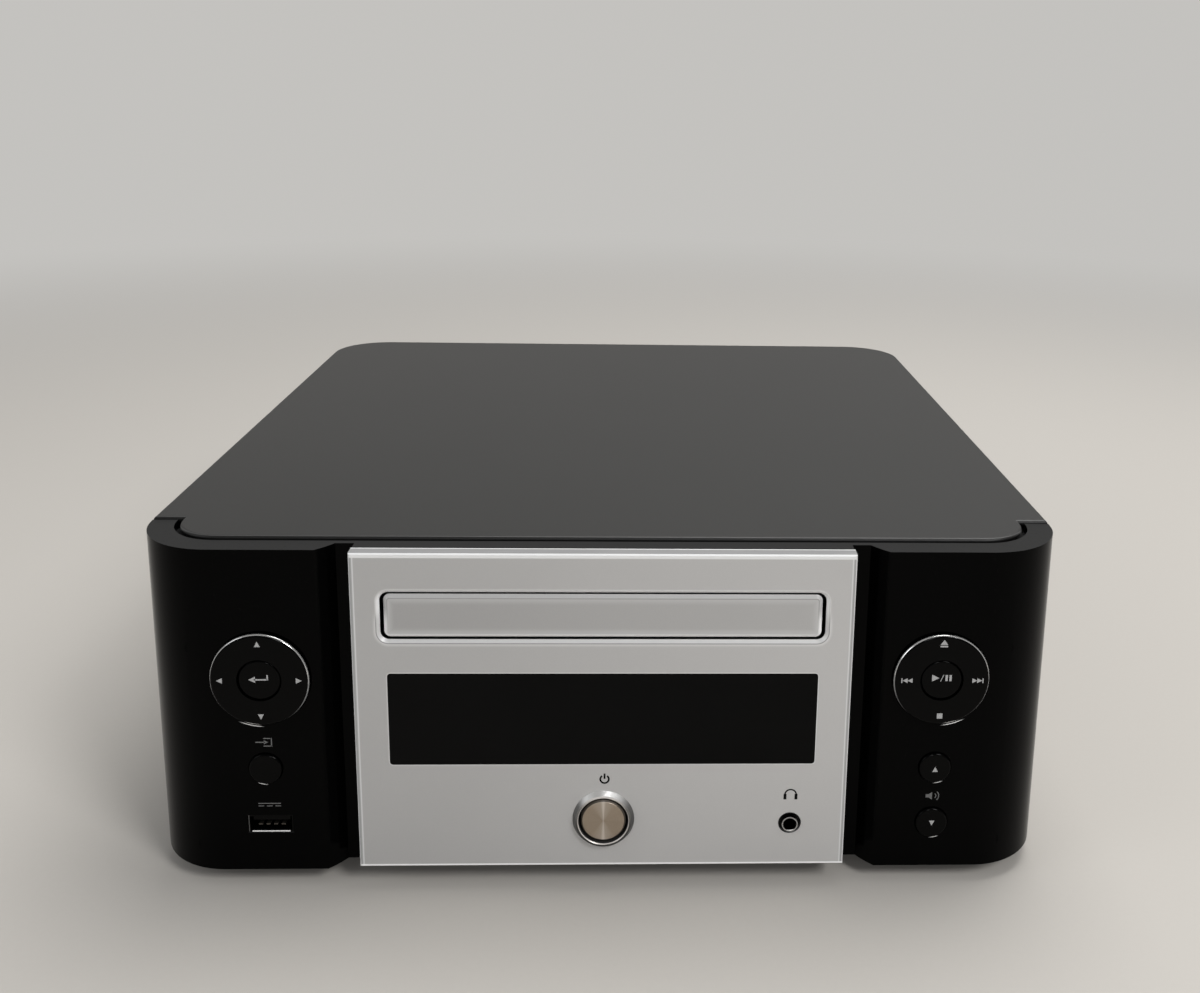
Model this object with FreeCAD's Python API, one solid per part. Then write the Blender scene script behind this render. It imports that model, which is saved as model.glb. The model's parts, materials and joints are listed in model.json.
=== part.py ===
import FreeCAD, Part
import math
import os

# Compact receiver with a disc tray, in millimetres.
# The model is drawn with x to the right, y = 0 on the front face of the black wings and
# growing towards the rear, and z = 0 on the shelf. Every piece is moved by origin_shift_y
# when it is written, so that the origin is at the bottom centre of the whole object.

# Casing
case_width = 280.0
case_height = 111.0
case_depth = 288.5
case_corner_r = 24.0
case_bottom_z = 5.8
ledge_drop = 0.7
ledge_width = 7.7
lid_gap = 1.7
groove_depth = 2.8
rib_width = 2.4
rib_inset = 10.6
bezel_wall = 2.5
bezel_floor = 1.8
bezel_depth = 24.9
bezel_tongue = 6.0
seam_gap = 0.6
fit_gap = 0.3
sheet = 1.2
cover_sheet = 1.5
cover_edge_r = 1.0
cover_lip = 9.0
cover_tab_x = 60.0
cover_tab_width = 14.0
cover_tab_height = 14.0
rear_opening_inset = 26.0
rear_header = 4.0
panel_foot_inset = 8.0
cover_screw_rise = 4.5

# Coves beside the centre block, measured from the middle of the front
cove_width = 4.9
cove_bulge = 0.62
cove_lean = 0.32
cove_inset_share = 0.6
recess_width = 5.3
recess_depth = 5.6
block_inset = 0.3
block_depth = 2.2

# Clear front plate
plate_border = 8.5
plate_bottom_z = 8.0
plate_drop = 0.1
plate_thickness = 4.5
plate_edge_chamfer = 0.4
tray_opening_gap = 1.2
tray_opening_drop = 27.2
tray_opening_height = 14.9
tray_opening_r = 2.6
tray_opening_bevel = 1.0
window_border = 10.15
window_drop = 10.6
window_height = 29.9
window_r = 1.0
window_fit = 0.1

# Power button
power_drop = 1.15
power_bezel_r = 9.45
power_bezel_neck_r = 8.4
power_bezel_reach = 1.6
power_bezel_slope = 0.9
power_bezel_wall = 0.9
power_cap_r = 6.85
power_cap_reach = 1.2
power_hole_fit = 0.1
power_neck_reach = 1.0
power_flange_r = 9.2
power_cap_edge = 0.5
power_rim_edge = 0.3

# Ring pads, the small round buttons and their switches
pad_from_cove = 17.4
pad_drop = 41.2
ring_r = 14.7
ring_reach = 1.8
ring_edge_r = 1.0
ring_fit = 0.35
ring_flange_r = 16.2
ring_flange_gap = 0.7
ring_flange = 1.2
ring_plunger_r = 1.0
ring_plunger_orbit = 11.2
centre_button_r = 6.3
centre_button_reach = 1.5
centre_fit = 0.3
spider_outer_r = 9.0
spider_inner_r = 3.4
spider_thickness = 1.2
spider_gap = 0.5
ring_rock = 0.3
small_button_r = 4.95
small_button_reach = 0.9
small_button_fit = 0.3
small_flange_r = 6.2
small_flange = 1.2
small_flange_gap = 0.3
button_edge_r = 0.6
stem_r = 1.6
input_button_z = 40.2
volume_up_z = 39.9
volume_down_z = 21.1
switch_face_y = 10.4
press_travel = 0.8
switch_clearance = 0.15
switch_size = 6.0
switch_plunger_r = 1.6
switch_plunger = 0.6

# Front sockets
jack_inset = 17.1
jack_drop = 1.7
jack_hole_r = 3.55
jack_body_r = 3.35
jack_sleeve_r = 2.45
jack_bore_r = 1.8
jack_sink = 0.9
jack_proud = 0.9
jack_bore_length = 14.0
jack_sleeve_length = 9.0
jack_box_half_width = 5.0
jack_box_half_height = 5.5
usb_shift = 0.5
usb_z = 21.35
usb_width = 13.5
usb_height = 5.6
usb_wall = 0.4
usb_tongue = 1.5
usb_tongue_gap = 0.4
usb_tongue_inset = 1.2
usb_fit = 0.2

# Front circuit board
front_board_y = 14.2
board_thickness = 1.6
front_board_side_gap = 14.0
front_board_drop = 1.2
front_board_ear_width = 42.0
front_board_ear_rise = 14.2
display_margin = 1.5
display_frame = 4.0
screen_depth = 2.0
front_boss_inset = 5.0
front_boss_low_z = 14.0
front_boss_high_z = 79.0

# Feet
foot_side_gap = 35.0
foot_front_y = 34.0
foot_rear_gap = 32.5
foot_r = 17.0
foot_pad_r = 13.5
foot_pad = 1.0
foot_recess_r = 4.2
foot_web = 2.8

# Screws
screw_r = 1.4
screw_hole_r = 1.55
screw_head_r = 2.8
screw_head = 1.8
screw_slot = 0.7
screw_length = 8.0
short_screw = 3.0
screw_neck = 0.5
screw_slot_depth = 0.9
screw_slot_share = 0.62
boss_r = 3.2

# Chassis and boards
chassis_front_y = 9.5
chassis_front_gap = 16.0
chassis_flange = 12.0
standoff = 6.0
main_board_side_gap = 10.0
main_board_x1 = 56.0
power_board_x0 = 62.0
power_board_side_gap = 8.0
rear_boards_y0 = 128.0
rear_boards_end_gap = 3.0
vent_length = 46.0
vent_width = 3.0
vent_pitch = 7.0
vent_count = 7
vent_x = 40.0
vent_y = 40.0
rear_vent_x0 = -14.0
rear_vent_x1 = 76.0
rear_vent_z = 60.0
rear_vent_pitch = 5.0
rear_vent_width = 2.4
board_screw_inset = 6.0
board_rear_inset = 18.0
board_corner = 8.0

# Disc tray
disc_y = 75.0
disc_well_r = 60.5
small_well_r = 40.5
tray_rim = 3.4
tray_length = 175.8
tray_rise = 5.5
tray_height = 6.0
well_depth = 3.0
small_well_depth = 4.2
tray_slot_half = 24.0
tray_rear_rim = 14.0
tray_rear_step = 45.0
fascia_overlap = 0.9
fascia_rise = 0.9
fascia_height = 13.5
fascia_r = 1.9
fascia_chamfer = 0.9

# Loader
loader_front_y = 16.5
loader_rear_y = 190.0
loader_deck_drop = 13.7
loader_deck = 2.0
loader_wall = 3.0
loader_top_rise = 8.5
tray_side_gap = 0.4
rail_width = 3.8
rail_gap = 0.3
rail_height = 2.7
lug_gap = 0.4
lug_width = 3.3
lug_length = 12.0
lug_places = (20.0, 100.0, 150.0)
loader_rear_bar_y = 171.0
pivot_post_gap = 1.0
pivot_post = 6.0
pivot_post_half = 5.0
pivot_post_top = 4.5
deck_shaft_hole_r = 4.2
deck_length = 29.0
ear_reach = 10.7
ear_length = 18.0
bracket_y0 = 30.0
bracket_y1 = 122.0
bracket_flange = 11.0
bracket_foot_height = 16.0
bracket_head_height = 14.0

# Gears of the loader
rack_module = 1.0
train_module = 0.8
rack_gear_teeth = 18
wheel_teeth = 32
pinion_teeth = 12
mesh_gap = 0.15
tooth_tip = 0.9
tooth_root = 1.2
tip_share = 0.12
root_share = 0.32
rack_tip_share = 0.14
rack_root_share = 0.36
rack_front_margin = 8.0
rack_rear_margin = 4.0
rack_line_inset = 7.4
rack_backing = 2.0
gear_y = 31.5
gear_thickness = 2.9
gear_gap = 0.4
axle_r = 1.5
axle_clearance = 0.05
pulley_r = 9.0
pulley_flange = 1.2
pulley_flange_thickness = 0.6
pulley_thickness = 3.6
motor_pulley_r = 3.0
motor_x = 5.0
motor_r = 12.2
motor_length = 12.3
motor_shaft_r = 1.0
motor_shaft_tip = 1.0
motor_cap = 1.0
belt_r = 0.8
belt_gap = 0.3

# Traverse with spindle and pickup
pivot_y = 165.0
pivot_drop = 8.5
pivot_r = 2.0
traverse_half = 46.0
traverse_front_y = 50.0
traverse_rear_y = 170.0
traverse_drop = 10.5
traverse_plate = 2.0
pivot_pin = 5.5
lift_pin_r = 1.5
lift_pin_drop = 13.5
lift_drop = 7.0
lift_arm_half = 4.0
lift_arm_depth = 3.0
lift_arm_under = 2.5
lift_pin_gap = 0.1
pivot_block = 4.0
pivot_block_top = 3.0
shaft_hole_r = 3.0
screw_block_half = 3.6
cam_travel = 18.0
cam_thickness = 2.5
cam_gap = 0.3
cam_height = 15.0
cam_length = 56.0
cam_slot_gap = 0.3
cam_overhang = 10.0
cam_end_room = 4.0
cam_rail = 2.0
cam_hook = 1.0
cam_post = 3.0
turntable_r = 15.0
turntable_rise = 4.1
turntable_thickness = 3.2
turntable_cone_r = 7.4
turntable_cone = 1.5
turntable_cone_taper = 1.2
spindle_motor_r = 12.0
spindle_motor_height = 6.5
spindle_shaft_r = 1.0
rod_r = 1.5
rod_x = 28.0
rod_drop = 5.9
rod_front_y = 84.5
rod_rear_y = 152.5
rod_block = 3.0
rod_block_half = 3.6
screw_drive_x = -20.0
screw_drive_r = 1.4
screw_drive_groove = 0.3
screw_drive_pitch = 3.0
screw_drive_groove_width = 1.0
sled_motor_r = 5.5
sled_motor_length = 11.0
pickup_y = 99.0
pickup_half_length = 10.0
pickup_half_width = 13.0
pickup_bottom_drop = 7.9
pickup_top_drop = 1.1
pickup_arm_half = 7.0
pickup_arm_drop = 3.6
lens_r = 3.0
lens_holder_r = 5.2
lens_top_rise = 1.7
lens_height = 2.2
lens_rise = 1.0
lens_edge_r = 0.9
pickup_free_gap = 0.35

# Disc clamp
clamp_bridge_y0 = 58.0
clamp_bridge_y1 = 92.0
clamp_hole_r = 11.0
clamp_neck_r = 9.9
clamp_disc_r = 16.0
clamp_gap = 0.3
clamp_flange = 1.2
clamp_disc_rise = 5.8
clamp_cone_room = 0.5
clamp_cone_roof = 0.4

# Rear sockets
inlet_side_gap = 52.0
inlet_z = 30.0
inlet_width = 26.0
inlet_height = 17.0
inlet_well_width = 18.6
inlet_well_height = 9.0
inlet_pin_r = 1.2
inlet_pin_pitch = 8.6
inlet_depth = 16.0
inlet_well_depth = 12.0
inlet_pin_length = 9.0
socket_face = 2.0
socket_ear = 9.0
socket_corner_r = 2.0
inlet_rim = 1.0
terminal_x0 = -12.0
terminal_pitch = 19.0
terminal_z = 34.0
terminal_count = 4
terminal_base_depth = 9.0
terminal_base_height = 24.0
terminal_base_end = 15.0
terminal_base_rim = 3.0
terminal_post_sink = 0.6
terminal_flutes = 12
terminal_flute_r = 0.95
terminal_flute_out = 0.5
terminal_collar = 1.5
terminal_cap_edge = 0.6
terminal_post_r = 3.0
terminal_knob_r = 6.6
terminal_knob_length = 8.5
terminal_knob_gap = 0.4
terminal_bore_r = 2.05
terminal_post_clearance = 0.08
rca_x = -62.0
rca_pitch_x = 17.0
rca_pitch_z = 16.0
rca_bottom_z = 30.0
rca_columns = 2
rca_rows = 2
rca_shell_r = 4.15
rca_bore_r = 1.7
rca_reach = 9.0
rca_block_depth = 11.0
network_side_gap = 46.0
network_width = 16.0
network_height = 13.5
network_depth = 18.0
network_well_width = 12.0
network_well_height = 8.0
network_well_depth = 13.0
antenna_z = 66.0
antenna_shell_r = 4.75
antenna_bore_r = 1.2
antenna_reach = 10.0
antenna_plate_half = 11.0
antenna_plate = 2.0
antenna_inner = 8.0
socket_hole_gap = 0.3
shell_hole_gap = 1.0

# Amplifier and power parts
heat_sink_x0 = -30.0
heat_sink_x1 = 30.0
heat_sink_y0 = 205.0
heat_sink_y1 = 238.0
heat_sink_height = 44.0
heat_sink_fins = 9
heat_sink_base = 3.0
fin_thickness = 1.6
capacitor_r = 9.0
capacitor_height = 32.0
transformer_width = 38.0
transformer_length = 34.0
transformer_height = 30.0
transformer_y = 170.0
capacitor_y = 232.0
capacitor_spacing = 21.0

# Worked out from the sizes above
half_width = case_width / 2
ledge_z = case_height - ledge_drop
tray_half = disc_well_r + tray_rim
fascia_width = 2 * (tray_half + fascia_overlap)
tray_opening_width = fascia_width + 2 * tray_opening_gap
plate_width = tray_opening_width + 2 * plate_border
window_width = plate_width - 2 * window_border
plate_top_z = ledge_z - plate_drop
tray_opening_bottom_z = plate_top_z - tray_opening_drop
window_bottom_z = tray_opening_bottom_z - window_drop - window_height
power_z = (plate_bottom_z + window_bottom_z) / 2 - power_drop
jack_x = plate_width / 2 - jack_inset
jack_z = power_z - jack_drop
block_half_width = plate_width / 2 - block_inset
recess_outer_x = plate_width / 2 + recess_width
cove_outer_x = recess_outer_x + cove_width
pad_x = cove_outer_x + pad_from_cove
left_pad = -pad_x
right_pad = pad_x
pad_z = case_height - pad_drop
usb_x = usb_shift - pad_x
fascia_bottom_z = tray_opening_bottom_z + fascia_rise
tray_bottom_z = tray_opening_bottom_z + tray_rise
tray_top_z = tray_bottom_z + tray_height
loader_deck_z = tray_bottom_z - loader_deck_drop
loader_top_z = tray_bottom_z + loader_top_rise
pivot_z = tray_bottom_z - pivot_drop
traverse_z = tray_bottom_z - traverse_drop
lift_pin_z = tray_bottom_z - lift_pin_drop
turntable_top_z = tray_bottom_z + turntable_rise
rod_z = tray_bottom_z - rod_drop
pickup_bottom_z = tray_bottom_z - pickup_bottom_drop
pickup_top_z = tray_bottom_z - pickup_top_drop
pickup_arm_top_z = tray_bottom_z - pickup_arm_drop
lens_top_z = tray_bottom_z + lens_top_rise
clamp_disc_bottom_z = tray_bottom_z + clamp_disc_rise
rack_line_x = rack_line_inset - tray_half
front_board_half_width = half_width - front_board_side_gap
front_board_top_z = loader_deck_z - front_board_drop
front_board_ear_x = front_board_half_width - front_board_ear_width
front_board_ear_z = pad_z + front_board_ear_rise
front_boss_x = front_board_half_width - front_boss_inset
foot_x = half_width - foot_side_gap
foot_rear_y = case_depth - foot_rear_gap
chassis_front_half = half_width - chassis_front_gap
rear_opening_width = case_width - 2 * rear_opening_inset
main_board_x0 = main_board_side_gap - half_width
power_board_x1 = half_width - power_board_side_gap
inlet_x = half_width - inlet_side_gap
network_x = network_side_gap - half_width
antenna_x = network_x
lid_under_z = case_height - cover_sheet
groove_z = ledge_z - groove_depth
lid_inset = ledge_width + lid_gap
chassis_z = case_bottom_z + bezel_floor
chassis_top_z = chassis_z + sheet
board_z = chassis_top_z + standoff
board_top_z = board_z + board_thickness
front_board_bottom_z = chassis_top_z + fit_gap
network_z = board_top_z + network_height / 2
plate_y = block_depth - plate_thickness
cover_front_y = bezel_depth + seam_gap
cover_rear_inner_y = case_depth - cover_sheet
rear_panel_y = cover_rear_inner_y
rear_panel_face_y = rear_panel_y + sheet
terminal_rear_y = rear_panel_face_y + socket_face + terminal_knob_gap + terminal_knob_length
power_front_y = plate_y - power_bezel_reach
origin_shift_y = -(power_front_y + terminal_rear_y) / 2
tray_front_y = block_depth
tray_rear_y = tray_front_y + tray_length
well_z = tray_top_z - well_depth
loader_inner = tray_half + tray_side_gap
loader_outer = loader_inner + loader_wall
deck_top_z = loader_deck_z + loader_deck
rack_gear_r = rack_module * rack_gear_teeth / 2
wheel_r = train_module * wheel_teeth / 2
pinion_r = train_module * pinion_teeth / 2
gear_x = rack_line_x + rack_gear_r + mesh_gap
pulley_x = gear_x + wheel_r + pinion_r + mesh_gap
pulley_z = deck_top_z + gear_gap
wheel_z = pulley_z + pulley_thickness + gear_gap
rack_gear_z = wheel_z + gear_thickness
rack_gear_top_z = tray_bottom_z - gear_gap
stem_end_y = switch_face_y - press_travel - switch_clearance
plunger_end_y = switch_face_y - ring_rock - switch_clearance
ear_top_z = loader_deck_z + sheet + loader_deck
cam_y = loader_front_y + deck_length + cam_gap
belt_orbit = belt_gap + belt_r
foot_seat_z = chassis_z - foot_web


def vec(x, y, z):
    return FreeCAD.Vector(x, y, z)


def block(x0, x1, y0, y1, z0, z1):
    return Part.makeBox(x1 - x0, y1 - y0, z1 - z0, vec(x0, y0, z0))


def rod_along_x(y, z, r, x0, x1):
    return Part.makeCylinder(r, x1 - x0, vec(x0, y, z), vec(1, 0, 0))


def rod_along_y(x, z, r, y0, y1):
    return Part.makeCylinder(r, y1 - y0, vec(x, y0, z), vec(0, 1, 0))


def rod_along_z(x, y, r, z0, z1):
    return Part.makeCylinder(r, z1 - z0, vec(x, y, z0), vec(0, 0, 1))


def join(shapes):
    whole = shapes[0].fuse(shapes[1:])
    return whole.removeSplitter()


def cut(shape, tools):
    return shape.cut(tools)


def prism(points, z0, z1):
    loop = [vec(x, y, z0) for x, y in points]
    loop.append(loop[0])
    face = Part.Face(Part.makePolygon(loop))
    return face.extrude(vec(0, 0, z1 - z0))


def edges_along(shape, axis, pick):
    found = []
    for edge in shape.Edges:
        if edge.Curve.TypeId != "Part::GeomLine":
            continue
        if abs(abs(edge.tangentAt(edge.FirstParameter).dot(axis)) - 1) > 1e-6:
            continue
        if pick(edge.CenterOfMass):
            found.append(edge)
    return found


def circles_at_y(shape, y, radius):
    found = []
    for edge in shape.Edges:
        if edge.Curve.TypeId != "Part::GeomCircle":
            continue
        if abs(edge.Curve.Radius - radius) < 1e-3 and abs(edge.Curve.Center.y - y) < 1e-3:
            found.append(edge)
    return found


def rounded_slab_y(x0, x1, y0, y1, z0, z1, r):
    # A slab that faces the front, with its four corners rounded.
    slab = block(x0, x1, y0, y1, z0, z1)
    return slab.makeFillet(r, edges_along(slab, vec(0, 1, 0), lambda c: True))


def save(name, solids):
    shape = solids[0] if len(solids) == 1 else Part.makeCompound(solids)
    placed = shape.copy()
    placed.translate(vec(0, origin_shift_y, 0))
    placed.exportStep("parts/" + name + ".step")
    print(name, len(placed.Solids), "solid(s)", round(placed.Volume / 1000, 2), "cm3")


def arc_edge(a, b, c, z):
    return Part.Arc(vec(a[0], a[1], z), vec(b[0], b[1], z), vec(c[0], c[1], z)).toShape()


def line_edge(a, b, z):
    return Part.LineSegment(vec(a[0], a[1], z), vec(b[0], b[1], z)).toShape()


def corner_mid(side, inset):
    # The middle point of the rounded front corner on one side.
    r = case_corner_r - inset
    reach = r * math.sqrt(0.5)
    return (side * (half_width - case_corner_r + reach), case_corner_r - reach)


def front_outline(inset, rear_y, z):
    # The plan of the bezel: rounded corners, flat wings, coves, recesses and centre block.
    side_x = half_width - inset
    flat_x = half_width - case_corner_r
    cove_x = cove_outer_x + cove_inset_share * inset
    block_x = block_half_width - inset
    recess_y = recess_depth + inset
    block_y = block_depth + inset
    half = []
    for side in (-1, 1):
        cove_mid = (side * (recess_outer_x + cove_lean * (cove_x - recess_outer_x)),
                    inset + cove_bulge * recess_depth)
        half.append([
            line_edge((side * side_x, rear_y), (side * side_x, case_corner_r), z),
            arc_edge((side * side_x, case_corner_r), corner_mid(side, inset),
                     (side * flat_x, inset), z),
            line_edge((side * flat_x, inset), (side * cove_x, inset), z),
            arc_edge((side * cove_x, inset), cove_mid, (side * recess_outer_x, recess_y), z),
            line_edge((side * recess_outer_x, recess_y), (side * block_x, recess_y), z),
            line_edge((side * block_x, recess_y), (side * block_x, block_y), z),
        ])
    edges = half[0] + half[1]
    edges.append(line_edge((-block_x, block_y), (block_x, block_y), z))
    edges.append(line_edge((-side_x, rear_y), (side_x, rear_y), z))
    return Part.Face(Part.Wire(Part.__sortEdges__(edges)))


def nested_outline(inset, rear_y, z):
    # The plan of a panel that nests inside the bezel: a straight front and rounded corners.
    side_x = half_width - inset
    flat_x = half_width - case_corner_r
    edges = []
    for side in (-1, 1):
        edges.append(line_edge((side * side_x, rear_y), (side * side_x, case_corner_r), z))
        edges.append(arc_edge((side * side_x, case_corner_r), corner_mid(side, inset),
                              (side * flat_x, inset), z))
    edges.append(line_edge((-flat_x, inset), (flat_x, inset), z))
    edges.append(line_edge((-side_x, rear_y), (side_x, rear_y), z))
    return Part.Face(Part.Wire(Part.__sortEdges__(edges)))


def up(face, height):
    return face.extrude(vec(0, 0, height))


def front_bezel():
    # Black moulding: wings, coves, the block behind the plate and the ledge round the lid.
    past = 1.0
    body = up(front_outline(0, bezel_depth, case_bottom_z), ledge_z - case_bottom_z)
    room = up(front_outline(bezel_wall, bezel_depth + past, chassis_z),
              groove_z - bezel_wall - chassis_z)
    groove = up(nested_outline(ledge_width, bezel_depth + past, groove_z), groove_depth + past)
    inner = up(nested_outline(rib_inset + rib_width, bezel_depth + past, case_bottom_z - past),
               case_height)
    body = cut(body, [room, groove, inner])
    rib = up(nested_outline(rib_inset, bezel_depth, groove_z), lid_under_z - groove_z)
    rib = cut(rib, [inner])
    parts = [body, rib]
    for side in (-1, 1):
        outer = side * (half_width - cover_sheet - fit_gap)
        inner_face = outer - side * bezel_wall
        x0, x1 = sorted((outer, inner_face))
        parts.append(block(x0, x1, case_corner_r - bezel_wall, bezel_depth + bezel_tongue,
                           chassis_z, groove_z - bezel_wall))
    for x, z in front_board_screws():
        parts.append(rod_along_y(x, z, boss_r, bezel_wall / 2, front_board_y))
    body = join(parts)
    holes = [rod_along_y(x, z, screw_hole_r, bezel_wall, front_board_y + past)
             for x, z in front_board_screws()]
    holes += [
        block(-tray_opening_width / 2, tray_opening_width / 2, -past, 4 * bezel_wall,
              tray_opening_bottom_z, tray_opening_bottom_z + tray_opening_height),
        block(-window_width / 2 + display_margin, window_width / 2 - display_margin, -past,
              4 * bezel_wall, window_bottom_z + display_margin,
              window_bottom_z + window_height - display_margin),
        rod_along_y(0, power_z, power_bezel_neck_r + power_hole_fit, -past, 4 * bezel_wall),
        rod_along_y(jack_x, jack_z, jack_hole_r, -past, 4 * bezel_wall),
        block(usb_x - usb_width / 2 - usb_fit, usb_x + usb_width / 2 + usb_fit, -past,
              2 * bezel_wall, usb_z - usb_height / 2 - usb_fit,
              usb_z + usb_height / 2 + usb_fit),
    ]
    for x in (left_pad, right_pad):
        holes.append(rod_along_y(x, pad_z, ring_r + ring_fit, -past, 2 * bezel_wall))
    for x, z in small_button_places():
        holes.append(rod_along_y(x, z, small_button_r + small_button_fit, -past,
                                 2 * bezel_wall))
    save("front_bezel", [cut(body, holes)])


def small_button_places():
    return [(left_pad, input_button_z), (right_pad, volume_up_z), (right_pad, volume_down_z)]


def front_plate():
    # Thick clear plate with polished edges, which stands proud of the wings.
    x1 = plate_width / 2
    plate = block(-x1, x1, plate_y, block_depth, plate_bottom_z, plate_top_z)
    front = [e for e in plate.Edges if abs(e.CenterOfMass.y - plate_y) < 1e-6]
    plate = plate.makeChamfer(plate_edge_chamfer, front)
    opening_x = tray_opening_width / 2
    opening_top_z = tray_opening_bottom_z + tray_opening_height
    past = 1.0
    opening = rounded_slab_y(-opening_x, opening_x, plate_y - past, block_depth + past,
                             tray_opening_bottom_z, opening_top_z, tray_opening_r)
    window_x = window_width / 2
    window = rounded_slab_y(-window_x, window_x, plate_y - past, block_depth + past,
                            window_bottom_z, window_bottom_z + window_height, window_r)
    tools = [opening, window,
             rod_along_y(0, power_z, power_bezel_neck_r + power_hole_fit, plate_y - past,
                         block_depth + past),
             rod_along_y(jack_x, jack_z, jack_hole_r, plate_y - past, block_depth + past)]
    plate = cut(plate, tools)
    rim = []
    for edge in plate.Edges:
        c = edge.CenterOfMass
        at_front = abs(c.y - plate_y) < 1e-6
        near_x = abs(c.x) < opening_x + past
        near_z = tray_opening_bottom_z - past < c.z < opening_top_z + past
        if at_front and near_x and near_z:
            rim.append(edge)
    plate = plate.makeChamfer(tray_opening_bevel, rim)
    save("front_plate", [plate])


def display_window():
    x1 = window_width / 2 - window_fit
    z0 = window_bottom_z + window_fit
    z1 = window_bottom_z + window_height - window_fit
    pane = rounded_slab_y(-x1, x1, plate_y, block_depth, z0, z1, window_r - window_fit)
    save("display_window", [pane])


def display_module():
    # Screen glass in its frame, standing on the front board.
    frame_x = window_width / 2 - display_margin - fit_gap
    z0 = window_bottom_z + display_margin + fit_gap
    z1 = window_bottom_z + window_height - display_margin - fit_gap
    front_y = block_depth + fit_gap
    frame = block(-frame_x, frame_x, front_y, front_board_y, z0, z1)
    screen = block(-frame_x + display_frame, frame_x - display_frame, front_y,
                   front_y + screen_depth, z0 + display_frame / 2, z1 - display_frame / 2)
    save("display_module", [cut(frame, [screen])])


def front_board():
    board = block(-front_board_half_width, front_board_half_width, front_board_y,
                  front_board_y + board_thickness, front_board_bottom_z, front_board_top_z)
    ears = []
    for side in (-1, 1):
        x0, x1 = sorted((side * front_board_ear_x, side * front_board_half_width))
        ears.append(block(x0, x1, front_board_y, front_board_y + board_thickness,
                          front_board_top_z - 1, front_board_ear_z))
    holes = [rod_along_y(x, z, screw_hole_r, front_board_y - 1, front_board_y + 3)
             for x, z in front_board_screws()]
    save("front_board", [cut(join([board] + ears), holes)])


def front_board_screws():
    return [(side * front_boss_x, z) for side in (-1, 1)
            for z in (front_boss_low_z, front_boss_high_z)]


def switch_places():
    places = [(0, power_z)] + small_button_places()
    for x in (left_pad, right_pad):
        places.append((x, pad_z))
        places.append((x - ring_plunger_orbit, pad_z))
        places.append((x + ring_plunger_orbit, pad_z))
        places.append((x, pad_z - ring_plunger_orbit))
        places.append((x, pad_z + ring_plunger_orbit))
    return places


def tact_switches():
    body_y = switch_face_y + switch_plunger
    half = switch_size / 2
    switches = []
    for x, z in switch_places():
        body = block(x - half, x + half, body_y, front_board_y, z - half, z + half)
        plunger = rod_along_y(x, z, switch_plunger_r, switch_face_y, body_y)
        switches.append(join([body, plunger]))
    save("tact_switches", switches)


def power_button_bezel():
    # Turned ring that slopes out of the plate, with a neck through it.
    outer, neck, r_in = power_bezel_r, power_bezel_neck_r, power_bezel_r - 2 * power_bezel_wall
    rim = outer - power_bezel_slope
    y0, y1, y2 = power_front_y, plate_y, block_depth + bezel_wall + power_neck_reach
    edge = power_rim_edge
    profile = [(r_in, y0 + edge), (r_in + edge, y0), (rim, y0), (outer, y1), (neck, y1),
               (neck, y2), (r_in, y2)]
    save("power_button_bezel", [turned(0, power_z, profile)])


def turned(x, z, profile):
    # A solid of revolution about an axis through (x, z) that points to the rear.
    loop = [vec(x + r, y, z) for r, y in profile]
    loop.append(loop[0])
    face = Part.Face(Part.makePolygon(loop))
    return face.revolve(vec(x, 0, z), vec(0, 1, 0), 360)


def power_button():
    front = plate_y - power_cap_reach
    cap_back = block_depth + bezel_wall
    flange_front = cap_back + power_neck_reach + fit_gap
    flange_back = flange_front + small_flange
    edge = power_cap_edge
    profile = [(0, front), (power_cap_r - edge, front), (power_cap_r, front + edge),
               (power_cap_r, flange_front), (power_flange_r, flange_front),
               (power_flange_r, flange_back), (stem_r, flange_back), (stem_r, stem_end_y),
               (0, stem_end_y)]
    save("power_button", [turned(0, power_z, profile)])


def ring_pad(name, x):
    # Four-way ring: a rounded rim, a flange behind the wing and four plungers.
    flange_y = bezel_wall + ring_flange_gap
    back_y = flange_y + ring_flange
    hole_r = centre_button_r + centre_fit
    body = rod_along_y(x, pad_z, ring_r, -ring_reach, back_y)
    body = body.makeFillet(ring_edge_r, circles_at_y(body, -ring_reach, ring_r))
    flange = rod_along_y(x, pad_z, ring_flange_r, flange_y, back_y)
    plungers = []
    for step in range(4):
        angle = math.radians(90 * step)
        px = x + ring_plunger_orbit * math.cos(angle)
        pz = pad_z + ring_plunger_orbit * math.sin(angle)
        plungers.append(rod_along_y(px, pz, ring_plunger_r, back_y - 0.5, plunger_end_y))
    body = join([body, flange] + plungers)
    hole = rod_along_y(x, pad_z, hole_r, -ring_reach - 1, back_y + 1)
    save(name, [cut(body, [hole])])


def spider(name, x):
    # Gimbal washer between the ring and the front board, on which the ring rocks.
    y0 = bezel_wall + ring_flange_gap + ring_flange + spider_gap
    washer = rod_along_y(x, pad_z, spider_outer_r, y0, y0 + spider_thickness)
    hole = rod_along_y(x, pad_z, spider_inner_r, y0 - 1, y0 + spider_thickness + 1)
    save(name, [cut(washer, [hole])])


def centre_button(name, x):
    cap_back = bezel_wall + ring_flange_gap
    cap = rod_along_y(x, pad_z, centre_button_r, -centre_button_reach, cap_back)
    cap = cap.makeFillet(button_edge_r, circles_at_y(cap, -centre_button_reach,
                                                       centre_button_r))
    stem = rod_along_y(x, pad_z, stem_r, cap_back - 0.5, stem_end_y)
    save(name, [join([cap, stem])])


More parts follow.
